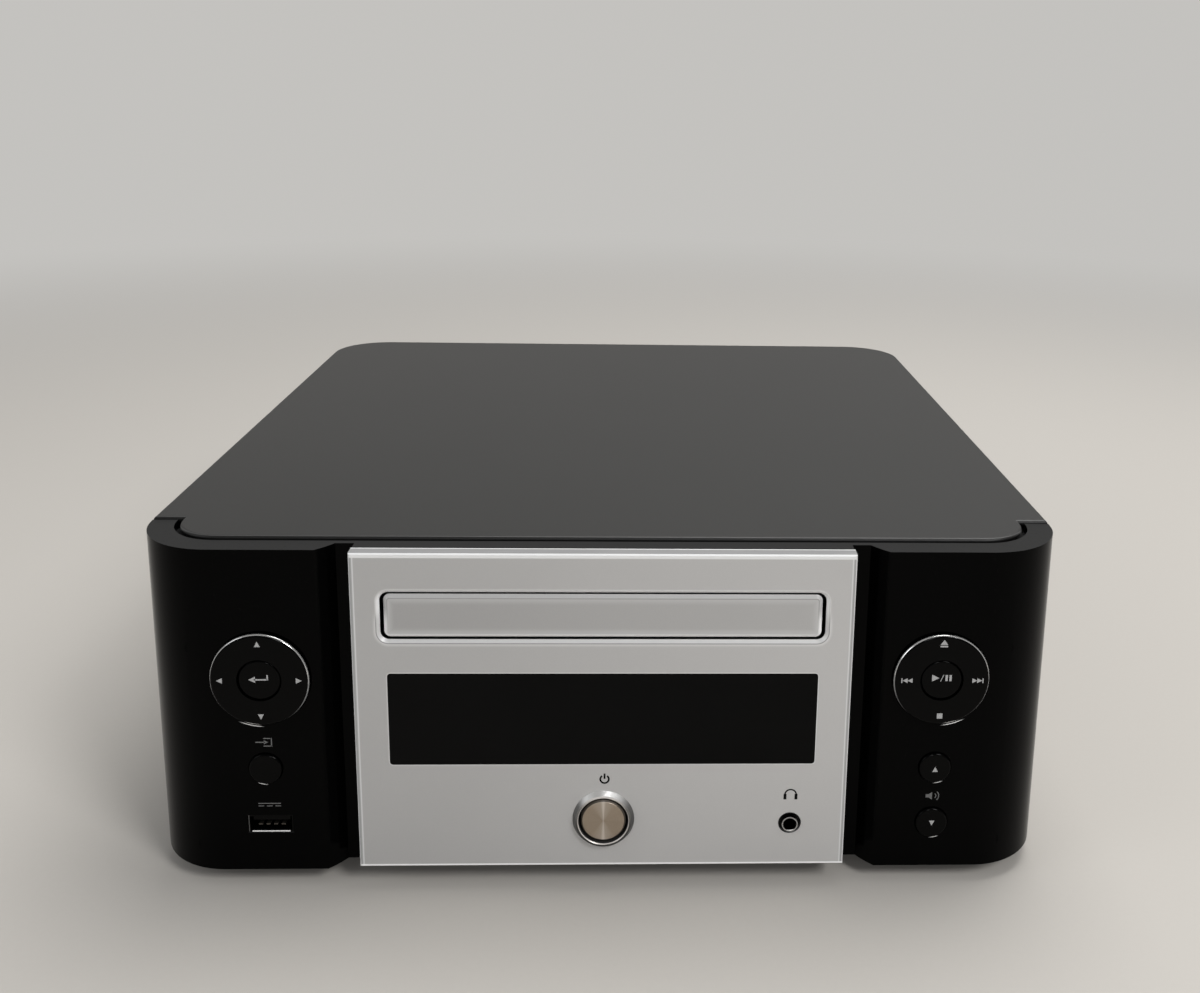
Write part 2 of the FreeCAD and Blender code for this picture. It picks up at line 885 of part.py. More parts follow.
def small_button(name, x, z):
    flange_y = bezel_wall + small_flange_gap
    cap = rod_along_y(x, z, small_button_r, -small_button_reach, flange_y + small_flange)
    cap = cap.makeFillet(button_edge_r, circles_at_y(cap, -small_button_reach,
                                                       small_button_r))
    flange = rod_along_y(x, z, small_flange_r, flange_y, flange_y + small_flange)
    stem = rod_along_y(x, z, stem_r, flange_y + small_flange - 0.5, stem_end_y)
    save(name, [join([cap, flange, stem])])


def phones_jack():
    # Black jack body, sunk in the plate, with a metal sleeve that stands proud.
    front = plate_y + jack_sink
    sleeve_front = plate_y - jack_proud
    body = join([rod_along_y(jack_x, jack_z, jack_body_r, front, front_board_y),
                 block(jack_x - jack_box_half_width, jack_x + jack_box_half_width,
                       block_depth + bezel_wall + 1, front_board_y,
                       jack_z - jack_box_half_height, jack_z + jack_box_half_height)])
    room = rod_along_y(jack_x, jack_z, jack_sleeve_r, front - 1,
                       sleeve_front + jack_sleeve_length)
    bore = rod_along_y(jack_x, jack_z, jack_bore_r, sleeve_front,
                       sleeve_front + jack_bore_length)
    save("phones_jack", [cut(body, [room, bore])])
    sleeve = rod_along_y(jack_x, jack_z, jack_sleeve_r, sleeve_front,
                         sleeve_front + jack_sleeve_length)
    save("phones_jack_sleeve", [cut(sleeve, [bore])])


def usb_port():
    # Metal shell, open to the front, with the plastic tongue that carries the contacts.
    x0, x1 = usb_x - usb_width / 2, usb_x + usb_width / 2
    z0, z1 = usb_z - usb_height / 2, usb_z + usb_height / 2
    front, back = fit_gap, front_board_y
    shell = block(x0, x1, front, back, z0, z1)
    room = block(x0 + usb_wall, x1 - usb_wall, front - 1, back - usb_wall, z0 + usb_wall,
                 z1 - usb_wall)
    tongue_top = z1 - usb_wall - usb_tongue_gap
    tongue = block(x0 + usb_tongue_inset, x1 - usb_tongue_inset, front + usb_tongue_inset,
                   back, tongue_top - usb_tongue, tongue_top)
    save("usb_port", [join([cut(shell, [room]), tongue])])


def cover_outline(inset, front_y, z):
    # The plan of the cover behind the bezel: straight sides and rounded rear corners.
    side_x = half_width - inset
    flat_x = half_width - case_corner_r
    rear_y = case_depth - inset
    arc_y = case_depth - case_corner_r
    reach = (case_corner_r - inset) * math.sqrt(0.5)
    edges = []
    for side in (-1, 1):
        edges.append(line_edge((side * side_x, front_y), (side * side_x, arc_y), z))
        middle = (side * (flat_x + reach), arc_y + reach)
        edges.append(arc_edge((side * side_x, arc_y), middle, (side * flat_x, rear_y), z))
    edges.append(line_edge((-side_x, front_y), (side_x, front_y), z))
    edges.append(line_edge((-flat_x, rear_y), (flat_x, rear_y), z))
    return Part.Face(Part.Wire(Part.__sortEdges__(edges)))


def top_cover():
    # Pressed lid and sides in one piece; the lid reaches forward inside the ledge.
    past = 1.0
    outer = up(cover_outline(0, cover_front_y, case_bottom_z), case_height - case_bottom_z)
    lid = up(nested_outline(lid_inset, cover_front_y + past, lid_under_z), cover_sheet)
    body = join([outer, lid])
    top_loop = [e for e in body.Edges if abs(e.CenterOfMass.z - case_height) < 1e-6]
    body = body.makeFillet(cover_edge_r, top_loop)
    room = up(cover_outline(cover_sheet, cover_front_y - past, case_bottom_z + cover_sheet),
              lid_under_z - case_bottom_z - cover_sheet)
    below = up(cover_outline(cover_lip, cover_front_y - past, case_bottom_z - past), 3 * past
               + cover_sheet)
    open_x = rear_opening_width / 2
    rear = block(-open_x, open_x, case_depth - 2 * cover_lip, case_depth + past,
                 case_bottom_z - past, case_height - rear_header)
    body = cut(body, [room, below, rear])
    tabs = []
    for x in (-cover_tab_x, cover_tab_x):
        tab = block(x - cover_tab_width / 2, x + cover_tab_width / 2,
                    rear_panel_y - cover_sheet, rear_panel_y,
                    lid_under_z - cover_tab_height, lid_under_z)
        tabs.append(tab)
    body = join([body] + tabs)
    holes = [rod_along_y(x, cover_screw_z(), screw_hole_r, rear_panel_y - 2 * cover_sheet, case_depth + 1)
             for x in (-cover_tab_x, cover_tab_x)]
    save("top_cover", [cut(body, holes)])


def cover_screw_z():
    return lid_under_z - cover_tab_height + cover_screw_rise


def bracket_x():
    return loader_outer + ear_reach


def bracket_screws():
    places = []
    for side in (-1, 1):
        for y in (bracket_y0 + ear_length / 2, bracket_y1 - ear_length / 2):
            places.append((side * (bracket_x() + bracket_flange / 2), y))
    return places


def ear_screws():
    places = []
    for side in (-1, 1):
        for y in (bracket_y0 + ear_length / 2, bracket_y1 - ear_length / 2):
            places.append((side * (loader_outer + ear_reach / 2), y))
    return places


def foot_places():
    return [(side * foot_x, y) for side in (-1, 1) for y in (foot_front_y, foot_rear_y)]


def board_screws():
    inset = board_screw_inset
    rear_y = rear_panel_y - rear_boards_end_gap - board_rear_inset
    places = []
    for x0, x1 in ((main_board_x0, main_board_x1), (power_board_x0, power_board_x1)):
        for x in (x0 + inset, x1 - inset):
            for y in (rear_boards_y0 + inset, rear_y):
                places.append((x, y))
    return places


def bottom_chassis():
    # Folded steel tray with board standoffs, screw holes and cooling slots.
    side_x = half_width - cover_sheet - fit_gap
    wide_y = bezel_depth + bezel_tongue + fit_gap
    middle_x = side_x - bezel_wall - fit_gap
    slant_y = chassis_front_y + middle_x - chassis_front_half
    rear_y = rear_panel_y
    corner = rear_opening_width / 2 - fit_gap
    taper_y = case_depth - case_corner_r
    right = [(chassis_front_half, chassis_front_y), (middle_x, slant_y), (middle_x, wide_y),
             (side_x, wide_y), (side_x, taper_y), (corner, rear_y)]
    outline = right + [(-x, y) for x, y in reversed(right)]
    floor = prism(outline, chassis_z, chassis_top_z)
    parts = [floor]
    for side in (-1, 1):
        x0, x1 = sorted((side * side_x, side * (side_x - sheet)))
        parts.append(block(x0, x1, wide_y, taper_y, chassis_z, chassis_z + chassis_flange))
    for x, y in board_screws():
        parts.append(rod_along_z(x, y, boss_r, chassis_z, board_z))
    body = join(parts)
    holes = [rod_along_z(x, y, screw_hole_r, case_bottom_z, board_z + 1)
             for x, y in board_screws() + bracket_screws() + foot_places()]
    for x in (-vent_x, vent_x):
        for step in range(vent_count):
            y = vent_y + vent_pitch * step
            holes.append(block(x - vent_length / 2, x + vent_length / 2, y, y + vent_width,
                               case_bottom_z, chassis_top_z + 1))
    save("bottom_chassis", [cut(body, holes)])


def terminal_places():
    return [terminal_x0 + terminal_pitch * step for step in range(terminal_count)]


def rca_places():
    return [(rca_x + rca_pitch_x * column, rca_bottom_z + rca_pitch_z * row)
            for column in range(rca_columns) for row in range(rca_rows)]


def rear_screws():
    # Each screw as x, z and the face that its head lies on.
    flange = rear_panel_face_y + socket_face
    x0, x1 = terminal_base_span()
    inlet_reach = inlet_width / 2 + socket_ear / 2
    return [(inlet_x - inlet_reach, inlet_z, flange), (inlet_x + inlet_reach, inlet_z, flange),
            (x0 + socket_ear / 2, terminal_z, flange), (x1 - socket_ear / 2, terminal_z, flange),
            (-cover_tab_x, cover_screw_z(), rear_panel_face_y),
            (cover_tab_x, cover_screw_z(), rear_panel_face_y),
            (rca_x + rca_pitch_x / 2, rca_bottom_z + rca_pitch_z / 2, rear_panel_face_y)]


def rear_panel():
    # Steel sheet with one hole for each socket and a foot that lies on the chassis.
    x1 = rear_opening_width / 2 - fit_gap
    z1 = case_height - rear_header - fit_gap
    y0, y1 = rear_panel_y, rear_panel_face_y
    sheet_plate = block(-x1, x1, y0, y1, chassis_z, z1)
    foot = block(-x1 + panel_foot_inset, x1 - panel_foot_inset, y0 - chassis_flange, y1,
                 chassis_top_z, chassis_top_z + sheet)
    panel = join([sheet_plate, foot])
    g = socket_hole_gap
    a, b = y0 - 1, y1 + 1
    base_x0, base_x1 = terminal_base_span()
    holes = [
        block(inlet_x - inlet_width / 2 + inlet_rim, inlet_x + inlet_width / 2 - inlet_rim,
              a, b, inlet_z - inlet_height / 2 + inlet_rim,
              inlet_z + inlet_height / 2 - inlet_rim),
        block(base_x0 + terminal_base_rim, base_x1 - terminal_base_rim, a, b,
              terminal_z - terminal_base_height / 2 + terminal_base_rim,
              terminal_z + terminal_base_height / 2 - terminal_base_rim),
        block(network_x - network_width / 2 - g, network_x + network_width / 2 + g, a, b,
              board_top_z - g, board_top_z + network_height + g),
        rod_along_y(antenna_x, antenna_z, antenna_shell_r + shell_hole_gap, a, b),
    ]
    for x, z in rca_places():
        holes.append(rod_along_y(x, z, rca_shell_r + shell_hole_gap, a, b))
    for x, z, seat in rear_screws():
        holes.append(rod_along_y(x, z, screw_hole_r, a, b))
    for step in range(vent_count):
        z = rear_vent_z + rear_vent_pitch * step
        holes.append(block(rear_vent_x0, rear_vent_x1, a, b, z, z + rear_vent_width))
    save("rear_panel", [cut(panel, holes)])


def terminal_base_span():
    last = terminal_x0 + terminal_pitch * (terminal_count - 1)
    return terminal_x0 - terminal_base_end, last + terminal_base_end


def screw(x, y, z, direction, length):
    # Pan-head screw whose head lies on the face at (x, y, z); direction points along the shank.
    start = vec(x, y, z)
    head = Part.makeCylinder(screw_head_r, screw_head, start, direction * -1)
    shank = Part.makeCylinder(screw_r, length + screw_neck, start - direction * screw_neck,
                              direction)
    arm = screw_head_r * screw_slot_share
    half = screw_slot / 2
    deep = screw_head - screw_slot_depth
    across = vec(1, 0, 0)
    other = direction.cross(across)
    recess = []
    for long_way, short_way in ((across, other), (other, across)):
        corner = start - direction * deep - long_way * arm - short_way * half
        loop = [corner, corner + long_way * 2 * arm,
                corner + long_way * 2 * arm + short_way * 2 * half,
                corner + short_way * 2 * half, corner]
        face = Part.Face(Part.makePolygon(loop))
        recess.append(face.extrude(direction * -(screw_slot_depth + 1)))
    return cut(join([head, shank]), recess)


def screws():
    forward, upward, downward = vec(0, -1, 0), vec(0, 0, 1), vec(0, 0, -1)
    outside = [screw(x, seat, z, forward, screw_length) for x, z, seat in rear_screws()]
    for x, y in foot_places():
        outside.append(screw(x, y, foot_seat_z, upward, screw_length))
    for x, z in front_board_screws():
        outside.append(screw(x, front_board_y + board_thickness, z, forward, screw_length))
    inside = [screw(x, y, board_top_z, downward, screw_length) for x, y in board_screws()]
    for x, y in bracket_screws():
        inside.append(screw(x, y, chassis_top_z + sheet, downward, short_screw))
    for x, y in ear_screws():
        inside.append(screw(x, y, ear_top_z, downward, screw_length))
    save("screws", outside + inside)


def feet():
    # Round feet with a stepped recess for the screw head, and a soft pad under each.
    solids, pads = [], []
    seat = foot_seat_z
    for x, y in foot_places():
        foot = rod_along_z(x, y, foot_r, foot_pad, chassis_z)
        foot = foot.makeFillet(1.5, [e for e in foot.Edges
                                     if abs(e.CenterOfMass.z - foot_pad) < 1e-6
                                     and e.Curve.TypeId == "Part::GeomCircle"])
        well = rod_along_z(x, y, foot_recess_r, 0, seat)
        hole = rod_along_z(x, y, screw_hole_r, 0, chassis_z + 1)
        solids.append(cut(foot, [well, hole]))
        pad = rod_along_z(x, y, foot_pad_r, 0, foot_pad)
        pads.append(cut(pad, [rod_along_z(x, y, foot_recess_r, -1, foot_pad + 1)]))
    save("feet", solids)
    save("foot_pads", pads)


def main_board():
    rear_y = rear_panel_y - rear_boards_end_gap
    y0, c = rear_boards_y0, board_corner
    board = prism([(main_board_x0, y0), (main_board_x1, y0), (main_board_x1, rear_y),
                   (main_board_x0 + c, rear_y), (main_board_x0, rear_y - c)], board_z,
                  board_top_z)
    holes = [rod_along_z(x, y, screw_hole_r, board_z - 1, board_top_z + 1)
             for x, y in board_screws()]
    save("main_board", [cut(board, holes)])
    board = prism([(power_board_x0, y0), (power_board_x1, y0), (power_board_x1, rear_y - c),
                   (power_board_x1 - c, rear_y), (power_board_x0, rear_y)], board_z,
                  board_top_z)
    save("power_board", [cut(board, holes)])


def heat_sink():
    base = block(heat_sink_x0, heat_sink_x1, heat_sink_y0, heat_sink_y1, board_top_z,
                 board_top_z + heat_sink_base)
    pitch = (heat_sink_x1 - heat_sink_x0 - fin_thickness) / (heat_sink_fins - 1)
    fins = []
    for step in range(heat_sink_fins):
        x = heat_sink_x0 + pitch * step
        fins.append(block(x, x + fin_thickness, heat_sink_y0, heat_sink_y1, board_top_z,
                          board_top_z + heat_sink_height))
    save("heat_sink", [join([base] + fins)])


def power_parts():
    middle = (power_board_x0 + power_board_x1) / 2
    cans = []
    for step in (-1, 0, 1):
        x = middle + step * capacitor_spacing
        cans.append(rod_along_z(x, capacitor_y, capacitor_r, board_top_z, board_top_z
                                + capacitor_height))
    save("capacitors", cans)
    core = block(middle - transformer_width / 2, middle + transformer_width / 2,
                 transformer_y, transformer_y + transformer_length, board_top_z,
                 board_top_z + transformer_height)
    save("transformer", [core])


def flat_sheet(x0, x1, y0, y1, z0):
    return block(x0, x1, y0, y1, z0, z0 + sheet)


def ac_inlet():
    # Two-pin mains socket: a flange with ears, a deep well and two round pins.
    face = rear_panel_face_y
    half = inlet_width / 2
    ears = half + socket_ear
    flange = block(inlet_x - ears, inlet_x + ears, face, face + socket_face,
                   inlet_z - inlet_height / 2, inlet_z + inlet_height / 2)
    flange = flange.makeFillet(socket_corner_r, edges_along(flange, vec(0, 1, 0),
                                                            lambda c: True))
    rim = inlet_rim + socket_hole_gap
    inner = block(inlet_x - half + rim, inlet_x + half - rim, face - inlet_depth, face + 0.5,
                  inlet_z - inlet_height / 2 + rim, inlet_z + inlet_height / 2 - rim)
    well_r = inlet_well_height / 2
    side = inlet_well_width / 2 - well_r
    back = face + socket_face + 1
    floor_y = face + socket_face - inlet_well_depth
    well = join([block(inlet_x - side, inlet_x + side, floor_y, back, inlet_z - well_r,
                       inlet_z + well_r),
                 rod_along_y(inlet_x - side, inlet_z, well_r, floor_y, back),
                 rod_along_y(inlet_x + side, inlet_z, well_r, floor_y, back)])
    holes = [rod_along_y(x, z, screw_hole_r, face - 1, face + socket_face + 1)
             for x, z, seat in rear_screws()]
    body = cut(join([flange, inner]), [well] + holes)
    pins = [rod_along_y(inlet_x + step * inlet_pin_pitch / 2, inlet_z, inlet_pin_r,
                        floor_y - 1, floor_y + inlet_pin_length) for step in (-1, 1)]
    save("ac_inlet", [join([body] + pins)])


def speaker_terminals():
    # Base plate with four hollow posts that take a plug, each under its own screw cap.
    face = rear_panel_face_y
    x0, x1 = terminal_base_span()
    z0, z1 = terminal_z - terminal_base_height / 2, terminal_z + terminal_base_height / 2
    plate = block(x0, x1, face, face + socket_face, z0, z1)
    plate = plate.makeFillet(socket_corner_r, edges_along(plate, vec(0, 1, 0),
                                                          lambda c: True))
    inset = terminal_base_rim + socket_hole_gap
    inner = block(x0 + socket_ear, x1 - socket_ear, face - terminal_base_depth, face + 0.5,
                  z0 + inset, z1 - inset)
    post_end = terminal_rear_y - terminal_post_sink
    inner_end = face - terminal_base_depth
    posts = [rod_along_y(x, terminal_z, terminal_post_r, inner_end, post_end)
             for x in terminal_places()]
    holes = [rod_along_y(x, z, screw_hole_r, face - 1, face + socket_face + 1)
             for x, z, seat in rear_screws()]
    base = cut(join([plate, inner]), posts + holes)
    tubes = [cut(post, [rod_along_y(x, terminal_z, terminal_bore_r, inner_end + socket_face,
                                    post_end + 1)])
             for post, x in zip(posts, terminal_places())]
    save("speaker_terminals", [base] + tubes)
    for number, x in enumerate(terminal_places(), 1):
        terminal_cap("terminal_cap_%d" % number, x)


def terminal_cap(name, x):
    # Ribbed screw cap with a running fit on its post.
    y0 = rear_panel_face_y + socket_face + terminal_knob_gap
    y1 = terminal_rear_y
    cap = rod_along_y(x, terminal_z, terminal_knob_r, y0, y1)
    cap = cap.makeChamfer(terminal_cap_edge, circles_at_y(cap, y1, terminal_knob_r))
    bore = rod_along_y(x, terminal_z, terminal_post_r + terminal_post_clearance, y0 - 1, y1 + 1)
    flutes = []
    orbit = terminal_knob_r + terminal_flute_out
    for step in range(terminal_flutes):
        angle = 2 * math.pi * step / terminal_flutes
        flutes.append(rod_along_y(x + orbit * math.cos(angle), terminal_z + orbit
                                  * math.sin(angle), terminal_flute_r, y0 + terminal_collar,
                                  y1 + 1))
    save(name, [cut(cap, [bore] + flutes)])


def rca_jacks():
    top = rca_bottom_z + rca_pitch_z * (rca_rows - 1) + rca_pitch_z / 2
    x0 = rca_x - rca_pitch_x / 2
    x1 = rca_x + rca_pitch_x * (rca_columns - 0.5)
    y1 = rear_panel_y
    body = block(x0, x1, y1 - rca_block_depth, y1, board_top_z, top)
    hole = rod_along_y(rca_x + rca_pitch_x / 2, rca_bottom_z + rca_pitch_z / 2, screw_hole_r,
                       y1 - rca_block_depth + 1, y1 + 1)
    outside = rear_panel_face_y + rca_reach
    shells = [cut(rod_along_y(x, z, rca_shell_r, y1, outside),
                  [rod_along_y(x, z, rca_bore_r, y1 - 1, outside + 1)])
              for x, z in rca_places()]
    save("rca_jacks", [cut(body, [hole])] + shells)


def network_jack():
    x0, x1 = network_x - network_width / 2, network_x + network_width / 2
    y1 = rear_panel_face_y + fit_gap
    body = block(x0, x1, y1 - network_depth, y1, board_top_z, board_top_z + network_height)
    half = network_well_width / 2
    z0 = network_z - network_well_height / 2
    well = block(network_x - half, network_x + half, y1 - network_well_depth, y1 + 1, z0,
                 z0 + network_well_height)
    save("network_jack", [cut(body, [well])])


def antenna_jack():
    y1 = rear_panel_y
    plate = block(antenna_x - antenna_plate_half, antenna_x + antenna_plate_half,
                  y1 - antenna_plate, y1, antenna_z - antenna_plate_half,
                  antenna_z + antenna_plate_half)
    outside = rear_panel_face_y + antenna_reach
    shell = rod_along_y(antenna_x, antenna_z, antenna_shell_r, y1 - antenna_inner, outside)
    bore = rod_along_y(antenna_x, antenna_z, antenna_bore_r, y1, outside + 1)
    save("antenna_jack", [cut(join([plate, shell]), [bore])])


def toothed_wheel(x, y, teeth, module, tooth_angle, z0, z1):
    # Spur wheel with straight flanks; one tooth points along tooth_angle, in degrees.
    pitch_r = module * teeth / 2
    tip_r, root_r = pitch_r + tooth_tip * module, pitch_r - tooth_root * module
    step = 2 * math.pi / teeth
    points = []
    for tooth in range(teeth):
        centre = math.radians(tooth_angle) + tooth * step
        for share, r in ((-root_share, root_r), (-tip_share, tip_r), (tip_share, tip_r),
                         (root_share, root_r)):
            a = centre + share * step
            points.append((x + r * math.cos(a), y + r * math.sin(a)))
    return prism(points, z0, z1)


def tray():
    # Sliding tray with a large and a small disc well, open behind the spindle.
    body = block(-tray_half, tray_half, tray_front_y, tray_rear_y, tray_bottom_z, tray_top_z)
    past = 1.0
    slot = join([rod_along_z(0, disc_y, tray_slot_half, tray_bottom_z - past,
                             tray_top_z + past),
                 block(-tray_slot_half, tray_slot_half, disc_y, tray_rear_y + past,
                       tray_bottom_z - past, tray_top_z + past)])
    small_z = tray_top_z - small_well_depth
    wells = [rod_along_z(0, disc_y, disc_well_r, well_z, tray_top_z + past),
             rod_along_z(0, disc_y, small_well_r, small_z, tray_top_z + past),
             block(-tray_half + tray_rear_rim, tray_half - tray_rear_rim,
                   disc_y + tray_rear_step, tray_rear_y + past, well_z,
                   tray_top_z + past)]
    body = cut(body, wells + [slot])
    save("tray", [join([body, tray_rack()])])


def tray_rack():
    # Toothed rack under the left side of the tray, in mesh with the loading gear at rest.
    pitch = math.pi * rack_module
    z0 = rack_gear_z + gear_gap
    tip = rack_line_x + tooth_tip * rack_module
    root = rack_line_x - tooth_root * rack_module
    back = root - rack_backing
    first = int((gear_y - tray_front_y - rack_front_margin) / pitch)
    last = int((tray_rear_y - gear_y - rack_rear_margin) / pitch)
    start_y = gear_y - pitch * first
    points = [(back, start_y)]
    for tooth in range(first + last):
        centre = start_y + pitch * (tooth + 0.5)
        for x, share in ((root, -rack_root_share), (tip, -rack_tip_share),
                         (tip, rack_tip_share), (root, rack_root_share)):
            points.append((x, centre + share * pitch))
    points.append((back, start_y + pitch * (first + last)))
    points[0] = (back, points[1][1])
    points[-1] = (back, points[-2][1])
    return prism(points, z0, tray_bottom_z)


def tray_fascia():
    x1 = fascia_width / 2
    slab = rounded_slab_y(-x1, x1, plate_y, tray_front_y, fascia_bottom_z,
                          fascia_bottom_z + fascia_height, fascia_r)
    front = [e for e in slab.Edges if abs(e.CenterOfMass.y - plate_y) < 1e-6]
    save("tray_fascia", [slab.makeChamfer(fascia_chamfer, front)])


def loader_frame():
    # Plastic frame: two side walls with rails, a front deck for the gears and a rear bar.
    deck_rear_y = loader_front_y + deck_length
    z0, z1 = loader_deck_z, deck_top_z
    parts = [block(-loader_outer, loader_outer, loader_front_y, deck_rear_y, z0, z1),
             block(-loader_outer, loader_outer, loader_rear_bar_y, loader_rear_y, z0, z1)]
    rail_top = tray_bottom_z - rail_gap
    lug_z = tray_top_z + lug_gap
    for side in (-1, 1):
        w0, w1 = sorted((side * loader_inner, side * loader_outer))
        parts.append(block(w0, w1, loader_front_y, loader_rear_y, z0, loader_top_z))
        r0, r1 = sorted((side * (loader_inner - rail_width), side * loader_inner))
        parts.append(block(r0, r1, loader_front_y, loader_rear_y, rail_top - rail_height,
                           rail_top))
        l0, l1 = sorted((side * (loader_inner - lug_width), side * loader_inner))
        for y in lug_places:
            parts.append(block(l0, l1, y, y + lug_length, lug_z, loader_top_z))
        e0, e1 = sorted((side * loader_outer, side * (loader_outer + ear_reach)))
        for y in (bracket_y0, bracket_y1 - ear_length):
            parts.append(block(e0, e1, y, y + ear_length, ear_top_z - loader_deck, ear_top_z))
        post_x = traverse_half + pivot_post_gap
        y0, y1 = pivot_y - pivot_post_half, pivot_y + pivot_post_half
        a0, a1 = sorted((side * post_x, side * loader_outer))
        parts.append(block(a0, a1, y0, loader_rear_bar_y, z0, z1))
        p0, p1 = sorted((side * post_x, side * (post_x + pivot_post)))
        parts.append(block(p0, p1, y0, y1, z0, pivot_z + pivot_post_top))
    parts.append(rod_along_z(gear_x, gear_y, 2 * axle_r, z1, wheel_z - gear_gap))
    parts.append(rod_along_z(gear_x, gear_y, axle_r, z1, rack_gear_top_z))
    parts.append(rod_along_z(pulley_x, gear_y, axle_r, z1, rack_gear_z))
    parts += cam_guides(deck_rear_y)
    body = join(parts)
    holes = [rod_along_z(motor_x, gear_y, deck_shaft_hole_r, z0 - 1, z1 + 1),
             rod_along_x(pivot_y, pivot_z, pivot_r + axle_clearance, -loader_inner,
                         loader_inner)]
    holes += [rod_along_z(x, y, screw_hole_r, ear_top_z - loader_deck - 1, ear_top_z + 1)
              for x, y in ear_screws()]
    save("loader_frame", [cut(body, holes)])


def cam_guides(deck_rear_y):
    # A rail with a hooked edge under the cam slider, hung from the deck by two posts.
    x0 = cam_nose() - cam_length - cam_end_room
    x1 = cam_nose() + cam_travel + cam_end_room
    low = cam_bottom_z() - cam_gap
    bottom = low - cam_rail
    back = cam_y + cam_thickness + cam_gap
    rear = back + cam_hook
    post_y = deck_rear_y - cam_post
    rail = block(x0, x1, deck_rear_y - cam_hook, rear, bottom, low)
    hook = block(x0, x1, back, rear, bottom, low + cam_rail)
    posts = [block(x0 - cam_post, x0, post_y, rear, bottom, deck_top_z),
             block(x1, x1 + cam_post, post_y, rear, bottom, deck_top_z)]
    return [rail, hook] + posts


def cam_nose():
    return cam_length / 2 - cam_overhang


def cam_bottom_z():
    return lift_pin_z - lift_drop / 2 - cam_height / 2


def cam_slider():
    # Sliding plate whose sloping slot lowers the front of the traverse.
    plate = block(cam_nose() - cam_length, cam_nose(), cam_y, cam_y + cam_thickness,
                  cam_bottom_z(), cam_bottom_z() + cam_height)
    r = lift_pin_r + cam_slot_gap
    slope = math.atan2(lift_drop, cam_travel)
    dx, dz = r * math.sin(slope), r * math.cos(slope)
    a, b = cam_y - 1, cam_y + cam_thickness + 1
    high, low = (0.0, lift_pin_z), (-cam_travel, lift_pin_z - lift_drop)
    loop = [vec(high[0] - dx, a, high[1] + dz), vec(low[0] - dx, a, low[1] + dz),
            vec(low[0] + dx, a, low[1] - dz), vec(high[0] + dx, a, high[1] - dz)]
    loop.append(loop[0])
    middle = Part.Face(Part.makePolygon(loop)).extrude(vec(0, b - a, 0))
    slot = [middle, rod_along_y(high[0], high[1], r, a, b), rod_along_y(low[0], low[1], r, a, b)]
    save("cam_slider", [cut(plate, slot)])


def loader_brackets():
    # Two folded steel legs that carry the loader above the boards.
    legs = []
    z0, z1 = chassis_top_z, loader_deck_z + sheet
    for side in (-1, 1):
        w0, w1 = sorted((side * bracket_x(), side * (bracket_x() + sheet)))
        f0, f1 = sorted((side * bracket_x(), side * (bracket_x() + bracket_flange)))
        t0, t1 = sorted((side * (loader_outer + fit_gap), side * bracket_x()))
        wall = block(w0, w1, bracket_y0, bracket_y1, z0, z1)
        window = block(w0 - 1, w1 + 1, bracket_y0 + ear_length, bracket_y1 - ear_length,
                       z0 + bracket_foot_height, z1 - bracket_head_height)
        foot = flat_sheet(f0, f1, bracket_y0, bracket_y1, z0)
        top = flat_sheet(t0, t1, bracket_y0, bracket_y1, z1 - sheet)
        leg = cut(join([wall, foot, top]), [window])
        holes = [rod_along_z(x, y, screw_hole_r, 0, case_height)
                 for x, y in bracket_screws() + ear_screws()]
        legs.append(cut(leg, holes))
    save("loader_brackets", legs)


def loading_gear():
    wheel = toothed_wheel(gear_x, gear_y, wheel_teeth, train_module, 0, wheel_z, rack_gear_z)
    small = toothed_wheel(gear_x, gear_y, rack_gear_teeth, rack_module, 180, rack_gear_z,
                          rack_gear_top_z)
    bore = rod_along_z(gear_x, gear_y, axle_r + axle_clearance, wheel_z - 1,
                       rack_gear_top_z + 1)
    save("loading_gear", [cut(join([wheel, small]), [bore])])


def pulley_body(x, y, r, z0):
    # A pulley with a square groove between two thin flanges.
    flange = pulley_flange_thickness
    top = z0 + pulley_thickness
    return [rod_along_z(x, y, r, z0, top),
            rod_along_z(x, y, r + pulley_flange, z0, z0 + flange),
            rod_along_z(x, y, r + pulley_flange, top - flange, top)]


def loading_pulley_gear():
    half_tooth = 180.0 / pinion_teeth
    parts = pulley_body(pulley_x, gear_y, pulley_r, pulley_z)
    parts.append(rod_along_z(pulley_x, gear_y, pinion_r - tooth_root * train_module, pulley_z,
                             rack_gear_z))
    parts.append(toothed_wheel(pulley_x, gear_y, pinion_teeth, train_module, 180 - half_tooth,
                               wheel_z, rack_gear_z))
    bore = rod_along_z(pulley_x, gear_y, axle_r + axle_clearance, pulley_z - 1,
                       rack_gear_z + 1)
    save("loading_pulley_gear", [cut(join(parts), [bore])])


def loading_motor():
    top = loader_deck_z
    body = rod_along_z(motor_x, gear_y, motor_r, top - motor_length, top)
    bottom = top - motor_length
    bore = rod_along_z(motor_x, gear_y, motor_shaft_r + axle_clearance, bottom + motor_cap,
                       top + 1)
    save("loading_motor", [cut(body, [bore])])
    shaft = rod_along_z(motor_x, gear_y, motor_shaft_r, bottom + 2 * motor_cap,
                        pulley_z + pulley_thickness + motor_shaft_tip)
    save("motor_pulley", [join(pulley_body(motor_x, gear_y, motor_pulley_r, pulley_z)
                               + [shaft])])


